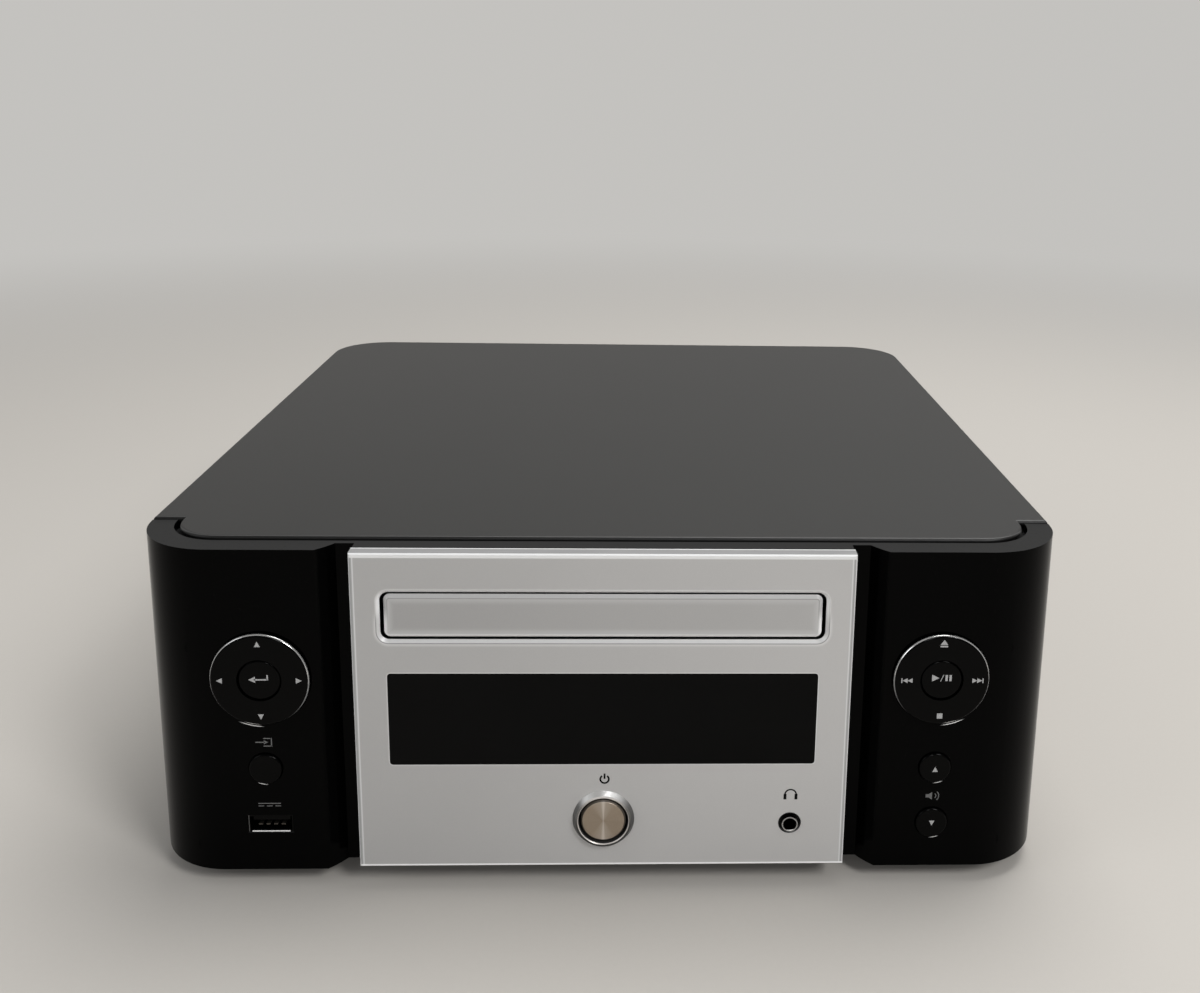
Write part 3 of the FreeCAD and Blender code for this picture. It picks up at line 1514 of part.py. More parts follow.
def wrap(r1, r2, z0, z1):
    # The outline of a band stretched over the two pulleys, as a solid slab.
    run = motor_x - pulley_x
    angle = math.acos((r1 - r2) / run)
    c, s = math.cos(angle), math.sin(angle)
    band = prism([(pulley_x + r1 * c, gear_y + r1 * s), (motor_x + r2 * c, gear_y + r2 * s),
                  (motor_x + r2 * c, gear_y - r2 * s), (pulley_x + r1 * c, gear_y - r1 * s)],
                 z0, z1)
    return join([band, rod_along_z(pulley_x, gear_y, r1, z0, z1),
                 rod_along_z(motor_x, gear_y, r2, z0, z1)])


def loading_belt():
    middle = pulley_z + pulley_thickness / 2
    z0, z1 = middle - belt_r, middle + belt_r
    r1, r2 = pulley_r + belt_orbit, motor_pulley_r + belt_orbit
    outer = wrap(r1 + belt_r, r2 + belt_r, z0, z1)
    inner = wrap(r1 - belt_r, r2 - belt_r, z0 - 1, z1 + 1)
    save("loading_belt", [cut(outer, [inner])])


def traverse_frame():
    # Plate that hinges at its rear and carries the spindle, the rods and the pickup.
    z0, z1 = traverse_z, traverse_z + traverse_plate
    plate = block(-traverse_half, traverse_half, traverse_front_y, traverse_rear_y, z0, z1)
    arm_rear_y = traverse_front_y + lift_arm_depth
    parts = [plate, block(-lift_arm_half, lift_arm_half, traverse_front_y, arm_rear_y,
                          lift_pin_z - lift_arm_under, z1),
             rod_along_y(0, lift_pin_z, lift_pin_r, cam_y + lift_pin_gap, arm_rear_y - 1)]
    for side in (-1, 1):
        inner_x = traverse_half - pivot_block
        b0, b1 = sorted((side * inner_x, side * traverse_half))
        parts.append(block(b0, b1, pivot_y - pivot_block, pivot_y + pivot_block, z0,
                           pivot_z + pivot_block_top))
        p0, p1 = sorted((side * (inner_x + 1), side * (traverse_half + pivot_pin)))
        parts.append(rod_along_x(pivot_y, pivot_z, pivot_r, p0, p1))
    top = rod_z + rod_block_half
    for y in (rod_front_y, rod_rear_y - rod_block):
        for x in (-rod_x, rod_x):
            parts.append(block(x - rod_block_half, x + rod_block_half, y, y + rod_block, z1,
                               top))
        parts.append(block(screw_drive_x - screw_block_half, screw_drive_x + screw_block_half,
                           y, y + rod_block, z1, top))
    body = join(parts)
    motor_y = rod_rear_y
    holes = [rod_along_z(0, disc_y, shaft_hole_r, z0 - 1, z1 + 1),
             rod_along_y(screw_drive_x, rod_z, sled_motor_r + fit_gap, motor_y,
                         motor_y + sled_motor_length + fit_gap),
             rod_along_y(screw_drive_x, rod_z, screw_drive_r + axle_clearance,
                         rod_front_y - 1, rod_rear_y + 1)]
    holes += [rod_along_y(x, rod_z, rod_r, rod_front_y - 1, rod_rear_y + 1)
              for x in (-rod_x, rod_x)]
    save("traverse_frame", [cut(body, holes)])


def guide_rods():
    save("guide_rods", [rod_along_y(x, rod_z, rod_r, rod_front_y, rod_rear_y)
                        for x in (-rod_x, rod_x)])


def spindle():
    top = traverse_z
    motor = rod_along_z(0, disc_y, spindle_motor_r, top - spindle_motor_height, top)
    bore = rod_along_z(0, disc_y, spindle_shaft_r + axle_clearance,
                       top - spindle_motor_height + motor_cap, top + 1)
    save("spindle_motor", [cut(motor, [bore])])
    table_z = turntable_top_z - turntable_thickness
    cone = Part.makeCone(turntable_cone_r, turntable_cone_r - turntable_cone_taper, turntable_cone,
                         vec(0, disc_y, turntable_top_z), vec(0, 0, 1))
    table = [rod_along_z(0, disc_y, turntable_r, table_z, turntable_top_z), cone,
             rod_along_z(0, disc_y, spindle_shaft_r, top - spindle_motor_height + 2 * motor_cap,
                         turntable_top_z)]
    save("spindle_turntable", [join(table)])


def screw_drive():
    # Lead screw with turned grooves, driven by a small motor at its rear end.
    motor_y = rod_rear_y
    motor = rod_along_y(screw_drive_x, rod_z, sled_motor_r, motor_y,
                        motor_y + sled_motor_length)
    bore = rod_along_y(screw_drive_x, rod_z, screw_drive_r + axle_clearance, motor_y - 1,
                       motor_y + sled_motor_length - motor_cap)
    save("sled_motor", [cut(motor, [bore])])
    body = rod_along_y(screw_drive_x, rod_z, screw_drive_r, rod_front_y + motor_cap / 2,
                       motor_y + sled_motor_length - 2 * motor_cap)
    grooves = []
    count = int((rod_rear_y - rod_front_y - 2 * rod_block) / screw_drive_pitch)
    for step in range(count):
        y = rod_front_y + rod_block + screw_drive_pitch * (step + 0.5)
        ring = rod_along_y(screw_drive_x, rod_z, screw_drive_r + 1, y,
                           y + screw_drive_groove_width)
        core = rod_along_y(screw_drive_x, rod_z, screw_drive_r - screw_drive_groove, y - 1,
                           y + screw_drive_groove_width + 1)
        grooves.append(cut(ring, [core]))
    save("lead_screw", [cut(body, grooves)])


def laser_pickup():
    # Sled on two rods, with the lens in a round holder on top.
    y0, y1 = pickup_y - pickup_half_length, pickup_y + pickup_half_length
    body = block(-pickup_half_width, pickup_half_width, y0, y1, pickup_bottom_z, pickup_top_z)
    reach = rod_x + rod_block_half
    arm = block(-reach, reach, pickup_y - pickup_arm_half, pickup_y + pickup_arm_half,
                pickup_bottom_z, pickup_arm_top_z)
    holder = rod_along_z(0, pickup_y, lens_holder_r, pickup_top_z - 0.5,
                         lens_top_z - lens_rise)
    sled = join([body, arm, holder])
    holes = [rod_along_y(rod_x, rod_z, rod_r + axle_clearance, y0 - 1, y1 + 1),
             rod_along_y(-rod_x, rod_z, rod_r + pickup_free_gap, y0 - 1, y1 + 1),
             rod_along_y(screw_drive_x, rod_z, screw_drive_r + pickup_free_gap, y0 - 1,
                         y1 + 1),
             rod_along_z(0, pickup_y, lens_r, lens_top_z - lens_height, lens_top_z + 1)]
    save("laser_pickup", [cut(sled, holes)])
    lens = rod_along_z(0, pickup_y, lens_r, lens_top_z - lens_height, lens_top_z)
    top = [e for e in lens.Edges if abs(e.CenterOfMass.z - lens_top_z) < 1e-6]
    save("objective_lens", [lens.makeFillet(lens_edge_r, top)])


def disc_clamp():
    # Steel bridge on the loader's walls, with a puck that hangs in its hole.
    bridge = block(-loader_outer, loader_outer, clamp_bridge_y0, clamp_bridge_y1,
                   loader_top_z, loader_top_z + sheet)
    hole = rod_along_z(0, disc_y, clamp_hole_r, loader_top_z - 1, loader_top_z + sheet + 1)
    save("clamp_bridge", [cut(bridge, [hole])])
    under = loader_top_z - clamp_gap
    over = loader_top_z + sheet + clamp_gap
    puck = join([rod_along_z(0, disc_y, clamp_disc_r, clamp_disc_bottom_z, under),
                 rod_along_z(0, disc_y, clamp_neck_r, under - 0.5, over + 0.5),
                 rod_along_z(0, disc_y, clamp_disc_r, over, over + clamp_flange)])
    cone_room = rod_along_z(0, disc_y, turntable_cone_r + clamp_cone_room,
                            clamp_disc_bottom_z - 1, under - clamp_cone_roof)
    save("clamp_puck", [cut(puck, [cone_room])])


def build():
    os.makedirs("parts", exist_ok=True)
    front_bezel()
    front_plate()
    display_window()
    display_module()
    front_board()
    tact_switches()
    power_button_bezel()
    power_button()
    ring_pad("menu_ring", left_pad)
    spider("menu_ring_spider", left_pad)
    centre_button("enter_button", left_pad)
    ring_pad("transport_ring", right_pad)
    spider("transport_ring_spider", right_pad)
    centre_button("play_button", right_pad)
    small_button("input_button", left_pad, input_button_z)
    small_button("volume_up_button", right_pad, volume_up_z)
    small_button("volume_down_button", right_pad, volume_down_z)
    phones_jack()
    usb_port()
    top_cover()
    bottom_chassis()
    rear_panel()
    screws()
    feet()
    main_board()
    heat_sink()
    power_parts()
    ac_inlet()
    speaker_terminals()
    rca_jacks()
    network_jack()
    antenna_jack()
    tray()
    tray_fascia()
    loader_frame()
    loader_brackets()
    cam_slider()
    loading_gear()
    loading_pulley_gear()
    loading_motor()
    loading_belt()
    traverse_frame()
    guide_rods()
    spindle()
    screw_drive()
    laser_pickup()
    disc_clamp()


build()
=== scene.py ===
# %% [markdown]
# # Dressing a compact disc receiver
# The packed model already holds every piece at its real size and place, so this lesson is about
# looks: finishes made of shader nodes, printed signs, small contacts and rings, light and camera.
# We begin by loading the model. It is a fixed frame: nothing in it is moved or reshaped.

# %% Load the packed model
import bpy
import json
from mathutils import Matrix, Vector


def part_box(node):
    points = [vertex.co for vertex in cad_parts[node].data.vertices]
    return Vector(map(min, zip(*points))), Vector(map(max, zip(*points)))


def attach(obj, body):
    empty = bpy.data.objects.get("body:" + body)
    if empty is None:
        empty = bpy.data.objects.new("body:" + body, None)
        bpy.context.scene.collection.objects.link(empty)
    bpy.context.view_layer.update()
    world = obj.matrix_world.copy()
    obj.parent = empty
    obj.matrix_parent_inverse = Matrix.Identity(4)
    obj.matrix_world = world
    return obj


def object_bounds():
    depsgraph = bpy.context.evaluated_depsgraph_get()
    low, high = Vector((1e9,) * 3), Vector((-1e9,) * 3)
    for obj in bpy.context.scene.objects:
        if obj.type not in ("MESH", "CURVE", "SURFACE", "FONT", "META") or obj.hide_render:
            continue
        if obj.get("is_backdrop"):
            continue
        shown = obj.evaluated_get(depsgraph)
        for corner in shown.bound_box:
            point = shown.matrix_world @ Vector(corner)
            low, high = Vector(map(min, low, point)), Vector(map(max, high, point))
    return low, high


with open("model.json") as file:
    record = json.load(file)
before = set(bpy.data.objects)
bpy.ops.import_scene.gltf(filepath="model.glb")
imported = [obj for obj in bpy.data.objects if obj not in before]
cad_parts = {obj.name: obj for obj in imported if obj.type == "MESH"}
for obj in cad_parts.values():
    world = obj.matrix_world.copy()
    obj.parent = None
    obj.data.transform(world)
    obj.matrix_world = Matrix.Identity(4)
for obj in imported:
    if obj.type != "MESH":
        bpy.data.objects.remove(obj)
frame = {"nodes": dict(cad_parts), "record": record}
nodes = frame["nodes"]
cad_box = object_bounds()
print(len(nodes), "pieces from the packed model")

# %% [markdown]
# ## Units
# Blender works in metres, and a receiver is easier to think of in millimetres. One number keeps
# the two apart. Small functions turn a place into metres and give the lowest corner, the highest
# corner and the middle of a piece. The fronts of the black wings and of the silver plate are
# measured first, because both carry printed signs.

# %% Millimetres and the front faces
import json
import math

import bmesh
import bpy
from mathutils import Matrix, Vector

MM = 0.001


def at(x, y, z):
    return (x * MM, y * MM, z * MM)


def low(node):
    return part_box(node)[0] / MM


def high(node):
    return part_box(node)[1] / MM


def middle(node):
    return (low(node) + high(node)) / 2


WING_Y = low("front_bezel").y
PLATE_LOW, PLATE_HIGH = low("front_plate"), high("front_plate")
PLATE_Y = PLATE_LOW.y
print("wing front at", round(WING_Y, 2), "mm and plate front at", round(PLATE_Y, 2), "mm")

# %% [markdown]
# ## Shader maths as plain sums
# Procedural finishes are sums on positions: how far is this point from the edge of the plate,
# which ring of the spun cap is it on? Wiring Math nodes by hand hides those sums. A small class
# can wrap a socket instead, and its operators add the nodes, so `1 - mask` reads as what it
# means. Any other node comes from one method that takes its type, its settings and the values of
# its sockets.


# %% A socket that can be used in sums
class Reading:
    def __init__(self, finish, socket):
        self.finish, self.socket = finish, socket

    def sum(self, operation, *others):
        # Adds a Math node of any kind, with this reading as its first value.
        values = dict(enumerate((self,) + others))
        return self.finish.node("Math", {"operation": operation}, values)

    def __add__(self, other):
        return self.sum("ADD", other)

    def __sub__(self, other):
        return self.sum("SUBTRACT", other)

    def __rsub__(self, other):
        return self.finish.node("Math", {"operation": "SUBTRACT"}, {0: other, 1: self})

    def __mul__(self, other):
        return self.sum("MULTIPLY", other)

    def __truediv__(self, other):
        return self.sum("DIVIDE", other)

    def __rtruediv__(self, other):
        return self.finish.node("Math", {"operation": "DIVIDE"}, {0: other, 1: self})

    # Adding and multiplying give the same from either side.
    __radd__, __rmul__ = __add__, __mul__

    def size(self):
        return self.sum("ABSOLUTE")

    def wave(self):
        return self.sum("SINE")

    def least(self, other):
        return self.sum("MINIMUM", other)

    def most(self, other):
        return self.sum("MAXIMUM", other)

    def step(self, start, end):
        # 0 up to start, 1 from end on, and a smooth rise between them.
        return self.finish.node("MapRange", {"interpolation_type": "SMOOTHSTEP"},
                                {"Value": self, "From Min": start, "From Max": end})


print("beside its sums a reading has", [name for name in vars(Reading) if name[0] != "_"])

# %% [markdown]
# ## One finish, one class
# Each finish is a material with a Principled shader. What the finishes share is written once
# here: Object coordinates in millimetres, noise, a colour mix, a bump and the shader itself. Only
# colour, roughness, metal, coat and normal vary over a surface. Everything else is one number on
# its socket, which keeps a finish light enough to be baked for other programs.


# %% A finish under construction
class Finish:
    MIX_FIRST, MIX_SECOND, MIX_RESULT = 6, 7, 2
    NOISE_ROUGH = 0.55
    made = {}

    def __init__(self, name):
        self.material = bpy.data.materials.new(name)
        self.material.use_nodes = True
        self.tree = self.material.node_tree
        self.tree.nodes.clear()
        Finish.made[name] = self.material
        place = self.node("TexCoord", output="Object")
        self.place = self.node("VectorMath", {"operation": "SCALE"}, {0: place, "Scale": 1 / MM})
        self.x, self.y, self.z = self.parts(self.place)

    def node(self, kind, settings=None, inputs=None, output=0):
        made = self.tree.nodes.new("ShaderNode" + kind)
        for key, value in (settings or {}).items():
            setattr(made, key, value)
        for key, value in (inputs or {}).items():
            if isinstance(value, Reading):
                self.tree.links.new(value.socket, made.inputs[key])
            else:
                made.inputs[key].default_value = value
        return Reading(self, made.outputs[output]) if made.outputs else None

    def parts(self, vector):
        split = self.node("SeparateXYZ", inputs={0: vector})
        return [Reading(self, split.socket.node.outputs[i]) for i in range(3)]

    def noise(self, per_mm, detail=4, stretch=(1, 1, 1)):
        # Cloudy noise, drawn out along an axis where stretch is small.
        place = self.node("VectorMath", {"operation": "MULTIPLY"}, {0: self.place, 1: stretch})
        return self.node("TexNoise", inputs={"Vector": place, "Scale": per_mm, "Detail": detail,
                                             "Roughness": self.NOISE_ROUGH})

    def blend(self, share, first, second):
        # A Mix node has sockets for each kind of data, so its colour sockets go by their numbers.
        return self.node("Mix", {"data_type": "RGBA"},
                         {0: share, self.MIX_FIRST: first, self.MIX_SECOND: second},
                         output=self.MIX_RESULT)

    def reach(self, centre, across=None):
        # Distance from an axis through centre, which points to the rear unless across is given.
        a, b = across or (self.x, self.z)
        a, b = a - centre[0], b - centre[1]
        return (a * a + b * b).sum("POWER", 0.5)

    def inward(self, low_corner, high_corner, corner):
        # Distance inwards from the rounded outline of a slab that faces the front.
        ax = (self.x - (low_corner.x + high_corner.x) / 2).size()
        az = (self.z - (low_corner.z + high_corner.z) / 2).size()
        qx = ax - ((high_corner.x - low_corner.x) / 2 - corner)
        qz = az - ((high_corner.z - low_corner.z) / 2 - corner)
        ox, oz = qx.most(0.0), qz.most(0.0)
        return corner - (ox * ox + oz * oz).sum("POWER", 0.5) - qx.most(qz).least(0.0)

    def facing(self, axis):
        # How much the surface looks along an axis: 0 for x, 1 for y, 2 for z.
        normal = self.node("NewGeometry", output="Normal")
        return self.parts(normal)[axis]

    def bump(self, height, depth_mm, strength):
        return self.node("Bump", inputs={"Height": height, "Distance": depth_mm * MM,
                                         "Strength": strength})

    def done(self, **sockets):
        # Closes the finish with its shader, where base_color stands for the Base Color socket.
        inputs = {key.replace("_", " ").title().replace("Ior", "IOR"): value
                  for key, value in sockets.items()}
        shader = self.node("BsdfPrincipled", inputs=inputs)
        self.node("OutputMaterial", inputs={"Surface": shader})
        return self.material


def grey(level, warm=0.0):
    # A grey as it should look on screen, from 0 to 255, in the linear values that shaders use.
    share = level / 255
    linear = share / 12.92 if share <= 0.04045 else ((share + 0.055) / 1.055) ** 2.4
    return (linear * (1 + warm), linear, linear * (1 - warm), 1)


def dress(material, *names):
    for name in names:
        nodes[name].data.materials.clear()
        nodes[name].data.materials.append(material)


print("a mid grey of 128 is", round(grey(128)[0], 3), "in linear light")

# %% [markdown]
# ## Thin arcs of light
# The rounded rims of the two big rings, and of the holes that the keys sit in, catch the lamps in
# very thin lines. Such a rim is narrower than a pixel, and soft lamps can't draw a line so fine,
# so the arcs are laid into the black finish. Each has a hub, a radius, an angle and a reach: full
# light near the angle, none further from it than the reach. The angles are in degrees, and 90 is
# the top.

# %% One arc
ARC_HALF = 0.22


def hub_of(node):
    place = middle(node)
    return place.x, place.z


def arc_of_light(f, hub, radius, angle, reach):
    toward = math.radians(angle)
    line = (f.reach(hub) - radius).size().step(ARC_HALF * 0.9, ARC_HALF * 0.3)
    ahead = (f.x - hub[0]) * math.cos(toward) + (f.z - hub[1]) * math.sin(toward)
    ends = math.cos(math.radians(reach)), math.cos(math.radians(reach * 0.5))
    return line * (ahead / radius).step(*ends)


print("hub of the left ring", [round(v, 1) for v in hub_of("menu_ring")], "mm")

# %% [markdown]
# ## Glossy black moulding
# The wings, the ledge and the block behind the plate are one moulding in polished black plastic.
# A flat black with a coat would look like a hole, so the polish gets what a real tool leaves: a
# faint orange peel in the gloss, a few hair marks from wiping, and a breath of dust in the
# roughness.

# %% Polished black plastic
BLACK, RIM_LIGHT = 2, 238
RIM_DEPTH, RIM_END = 0.55, 0.8


def polished_black(name, gloss, shine, arcs=(), arc_metal=1.0, front_y=None, top_sheen=None):
    # The level for the top paints the faces that look up greyer, a painted reflection of the room,
    # makes them duller, and gives the sides a thin coat.
    f = Finish(name)
    peel = f.noise(0.12, 3)
    dust = f.noise(0.9, 5).step(0.55, 0.8)
    hair = f.noise(1.6, 2, (1, 1, 0.03)).step(0.63, 0.72)
    colour = f.blend(dust * 0.4, grey(BLACK), grey(BLACK + 7, 0.02))
    rough = gloss + dust * 0.10 + hair * 0.05 + peel * 0.03
    bright, coat = 0.0, 0.0
    if top_sheen is not None:
        on_top = f.facing(2).step(0.6, 0.9)
        colour = f.blend(on_top, colour, grey(top_sheen))
        rough = rough + on_top * 0.3
        coat = f.facing(0).size().step(0.96, 0.995) * 0.5
    for arc in arcs:
        bright = arc_of_light(f, *arc) + bright
    if front_y is not None:
        # The light stays on the rounded rim, just behind the front of the key.
        bright = bright * f.y.step(front_y + RIM_END, front_y + RIM_DEPTH)
    if arcs:
        colour = f.blend(bright, colour, grey(RIM_LIGHT))
    normal = f.bump(peel + hair * 0.03, 0.02, 0.35)
    return f.done(base_color=colour, roughness=rough, normal=normal, specular_ior_level=shine,
                  metallic=bright * arc_metal if arcs else 0.0, coat_weight=coat,
                  coat_roughness=0.1)


print("black", round(grey(BLACK)[0], 5), "and light on the rims", round(grey(RIM_LIGHT)[0], 2))

# %% Wings and keys
RING_RIM, RING_LOW, RING_HOLE, SMALL_HOLE = 14.5, 14.1, 15.75, 5.4
hole_arcs = [(hub_of("menu_ring"), RING_HOLE, -103, 13),
             (hub_of("transport_ring"), RING_HOLE, -73, 13),
             (hub_of("input_button"), SMALL_HOLE, -102, 13),
             (hub_of("volume_up_button"), SMALL_HOLE, -76, 12),
             (hub_of("volume_down_button"), SMALL_HOLE, -79, 11)]
dress(polished_black("wing_polish", 0.12, 0.04, hole_arcs, 0.3, top_sheen=38), "front_bezel")
dress(polished_black("key_polish", 0.10, 0.07), "enter_button", "play_button",
      "input_button", "volume_up_button", "volume_down_button")
for key, low_angle in (("menu_ring", -101), ("transport_ring", -76)):
    ring_arcs = [(hub_of(key), RING_RIM, 84, 150), (hub_of(key), RING_LOW, low_angle, 7)]
    dress(polished_black(key + "_polish", 0.10, 0.07, ring_arcs, front_y=low(key).y), key)
print("polished black on", len(nodes["front_bezel"].data.polygons), "faces of the moulding")

# %% [markdown]
# ## Satin cover
# The wide cover is folded sheet steel with a dark, even powder paint. Seen close it has a very
# fine grain, and that grain is what spreads the light of the room into a soft grey.


# %% Powder paint
FOLD_TURN = 0.42


def powder_paint(name, level, rough, grain_mm, shine=0.5, fold_light_and_shade=False):
    f = Finish(name)
    grain = f.noise(1 / grain_mm, 3)
    cloud = f.noise(0.02, 4)
    speck = f.noise(0.7, 4).step(0.62, 0.78)
    colour = f.blend(cloud * 0.6 + speck * 0.4, grey(level), grey(level + 7, 0.01))
    if fold_light_and_shade:
        # The front edge is rolled down: a painted highlight where it turns, and painted shade
        # below the line.
        ahead = f.facing(1)
        fold_highlight = (ahead + FOLD_TURN).size().step(0.16, 0.04)
        colour = f.blend(fold_highlight * 0.6, colour, grey(78))
        colour = f.blend(ahead.step(-0.55, -0.72), colour, grey(4))
    normal = f.bump(grain, 0.03, 0.5)
    return f.done(base_color=colour, roughness=rough + grain * 0.12 + speck * 0.05, normal=normal,
                  specular_ior_level=shine)


dress(powder_paint("cover_paint", 18, 0.38, 0.09, shine=0.36, fold_light_and_shade=True), "top_cover")
dress(powder_paint("panel_paint", 26, 0.42, 0.30), "rear_panel")
print("paint on the cover and on the rear panel")

# %% [markdown]
# ## Silver behind clear plastic
# The front plate is thick clear acrylic, painted silver on its back. The paint stops short of the
# edge and leaves a clear border, about a millimetre and a half at the sides and the top and less
# at the foot. Light gathers there, in two fine lines at the sides and one band at the top and the
# foot. We could model glass and a painted sheet behind it, but a clear slab a few millimetres
# thick costs many samples. The distance to the edge, measured in the shader, gives the same
# border and bakes cleanly.

# %% Silver paint and its places
SILVER, EDGE_HIGHLIGHT = 177, 240
BORDER, FOOT_BORDER, INNER_LINE = 1.45, 0.85, 1.2
GAP_SIDE, GAP_BELOW, GAP_ABOVE = 1.2, 0.9, 0.5
OPENING_CORNER, WINDOW_CORNER, FASCIA_CORNER = 2.6, 1.0, 1.9
window = low("display_window"), high("display_window")
fascia = low("tray_fascia"), high("tray_fascia")
opening = (fascia[0] - Vector((GAP_SIDE, 0, GAP_BELOW)),
           fascia[1] + Vector((GAP_SIDE, 0, GAP_ABOVE)))


def silver_paint(f, level):
    flake = f.noise(2.4, 2)
    cloud = f.noise(0.012, 3)
    # The paint grows lighter towards the right, a painted gradient of light.
    light_from_right = f.x.step(-95, 95)
    mix = flake * 0.2 + cloud * 0.3 + light_from_right * 0.5
    return f.blend(mix, grey(level - 14, 0.012), grey(level + 12, 0.016)), flake


def varnished(f, colour, flake):
    return f.done(base_color=colour, roughness=0.34 + flake * 0.08, metallic=0.15,
                  normal=f.bump(flake, 0.004, 0.3), coat_weight=0.3, coat_roughness=0.05,
                  specular_ior_level=0.4)


def upper_half(f, corners):
    # 1 above the middle of two corners and 0 below it, with a soft change over 6 mm.
    middle_z = (corners[0].z + corners[1].z) / 2
    return f.z.step(middle_z - 3, middle_z + 3)


print("opening of the tray", [round(v, 1) for v in opening[1] - opening[0]], "mm")


# %% The plate
def plate_finish():
    f = Finish("plate_silver")
    colour, flake = silver_paint(f, SILVER)
    side = (f.x - PLATE_LOW.x).least(PLATE_HIGH.x - f.x)
    foot, head = f.z - PLATE_LOW.z, PLATE_HIGH.z - f.z
    # The clear border: a strip with painted highlights, a soft inner line at the sides and one
    # bright band at the ends.
    colour = f.blend(side.step(BORDER + 0.15, BORDER - 0.1), colour, grey(SILVER - 20))
    colour = f.blend((side - INNER_LINE).size().step(0.4, 0.05) * 0.6, colour, grey(236))
    colour = f.blend(side.step(0.42, 0.25) * 0.8, colour, grey(244))
    colour = f.blend(head.step(BORDER + 0.1, BORDER - 0.25), colour, grey(226))
    colour = f.blend(foot.step(FOOT_BORDER + 0.15, FOOT_BORDER - 0.1), colour, grey(250))
    # The opening of the tray: a painted highlight above it, and below it a painted light band and
    # a crease of painted shade.
    away = 0 - f.inward(*opening, OPENING_CORNER)
    above = upper_half(f, opening)
    colour = f.blend(away.step(1.5, 0.5) * (above * 0.75 + 0.15), colour, grey(246))
    colour = f.blend(away.step(2.3, 1.2) * (1 - above) * 0.4, colour, grey(232))
    colour = f.blend((away - 1.05).size().step(0.2, 0.06) * (1 - above) * 0.8, colour, grey(118))
    # A thin painted highlight where the window's edge shows through the clear plate.
    pane = 0 - f.inward(*window, WINDOW_CORNER)
    colour = f.blend(pane.step(0.5, 0.2) * 0.45, colour, grey(EDGE_HIGHLIGHT))
    # The thickness of the plate is grey, with a painted highlight along the rear on top and
    # painted shade in the opening.
    edge_tone = f.blend(f.noise(0.05, 2, (1, 8, 1)), grey(128), grey(148))
    rear_highlight = f.y.step(PLATE_HIGH.y - 0.7, PLATE_HIGH.y - 0.3) * f.facing(2).step(0.5, 0.9)
    edge_tone = f.blend(rear_highlight, edge_tone, grey(EDGE_HIGHLIGHT))
    edge_tone = f.blend(away.step(0.5, 0.2), edge_tone, grey(6))
    colour = f.blend(f.facing(1).step(-0.5, -0.3), colour, edge_tone)
    return varnished(f, colour, flake)


dress(plate_finish(), "front_plate")
print("plate", [round(v, 1) for v in PLATE_HIGH - PLATE_LOW], "mm")


# %% The front of the tray
def fascia_finish():
    f = Finish("fascia_silver")
    colour, flake = silver_paint(f, SILVER - 12)
    edge = f.inward(*fascia, FASCIA_CORNER)
    above = upper_half(f, fascia)
    # Lighter towards its rim, with a crease of painted shade at the top and a painted highlight on
    # the edge at the foot.
    colour = f.blend(edge.step(3.4, 0.9) * 0.45, colour, grey(SILVER + 26))
    colour = f.blend((edge - 1.15).size().step(0.22, 0.06) * above * 0.55, colour, grey(112))
    colour = f.blend(edge.step(1.3, 0.5) * (1 - above), colour, grey(252))
    # Its thickness is in the shade of the opening.
    colour = f.blend(f.facing(1).step(-0.5, -0.3), colour, grey(10))
    return varnished(f, colour, flake)


dress(fascia_finish(), "tray_fascia")
print("front of the tray", [round(v, 1) for v in fascia[1] - fascia[0]], "mm")

# %% [markdown]
# ## Smoked window
# Behind the wide window sits the display, dark while the receiver is off. The window is smoked
# acrylic: almost black, very smooth, with a few fine wipe marks.


# %% Smoked acrylic
def smoked(name, level):
    f = Finish(name)
    wipe = f.noise(0.25, 4, (0.15, 1, 1)).step(0.5, 0.8)
    colour = f.blend(f.noise(0.03, 2), grey(level - 2), grey(level + 2))
    return f.done(base_color=colour, roughness=0.06 + wipe * 0.08,
                  normal=f.bump(wipe, 0.002, 0.2), specular_ior_level=0.07)


dress(smoked("window_smoke", 5), "display_window")
dress(smoked("display_glass", 24), "display_module")
print("window", [round(v, 1) for v in window[1] - window[0]], "mm")

# %% [markdown]
# ## Turned metal
# The power button is a champagne coloured cap in a silver ring, both turned on a lathe. The tool
# leaves fine circular grooves, which draw every highlight out into a narrow fan that runs through
# the centre. Grooves this fine are smaller than a pixel, so the bump gives the grain, and the fan
# is laid into the colour. Its measure is how far a point leans from the upright line through the
# centre.


# %% Spun metal
def spun_metal(name, colour_low, colour_high, centre, rough, groove_mm):
    # Gives the finish with its colour, roughness and normal, and the place on the disc.
    f = Finish(name)
    a, b = f.x - centre[0], f.z - centre[1]
    radius = f.reach(centre)
    groove = (radius * (2 * math.pi / groove_mm)).wave()
    ring = f.node("TexNoise", {"noise_dimensions": "1D"}, {"W": radius, "Scale": 6.0, "Detail": 3})
    turn = b.sum("ARCTAN2", a)
    stripe = f.node("TexNoise", {"noise_dimensions": "1D"}, {"W": turn, "Scale": 2.2, "Detail": 2})
    colour = f.blend(ring * 0.6 + stripe * 0.4, colour_low, colour_high)
    roughness = rough + f.noise(3.0, 3) * 0.08 + stripe * 0.04
    return f, colour, roughness, f.bump(groove * 0.5 + ring, 0.012, 0.6), (a, b, radius)


power_hub = hub_of("power_button")
print("power button at", [round(v, 1) for v in power_hub], "mm")

# %% The cap and its ring
CAP_EDGE, RING_LIP = 6.4, 7.8


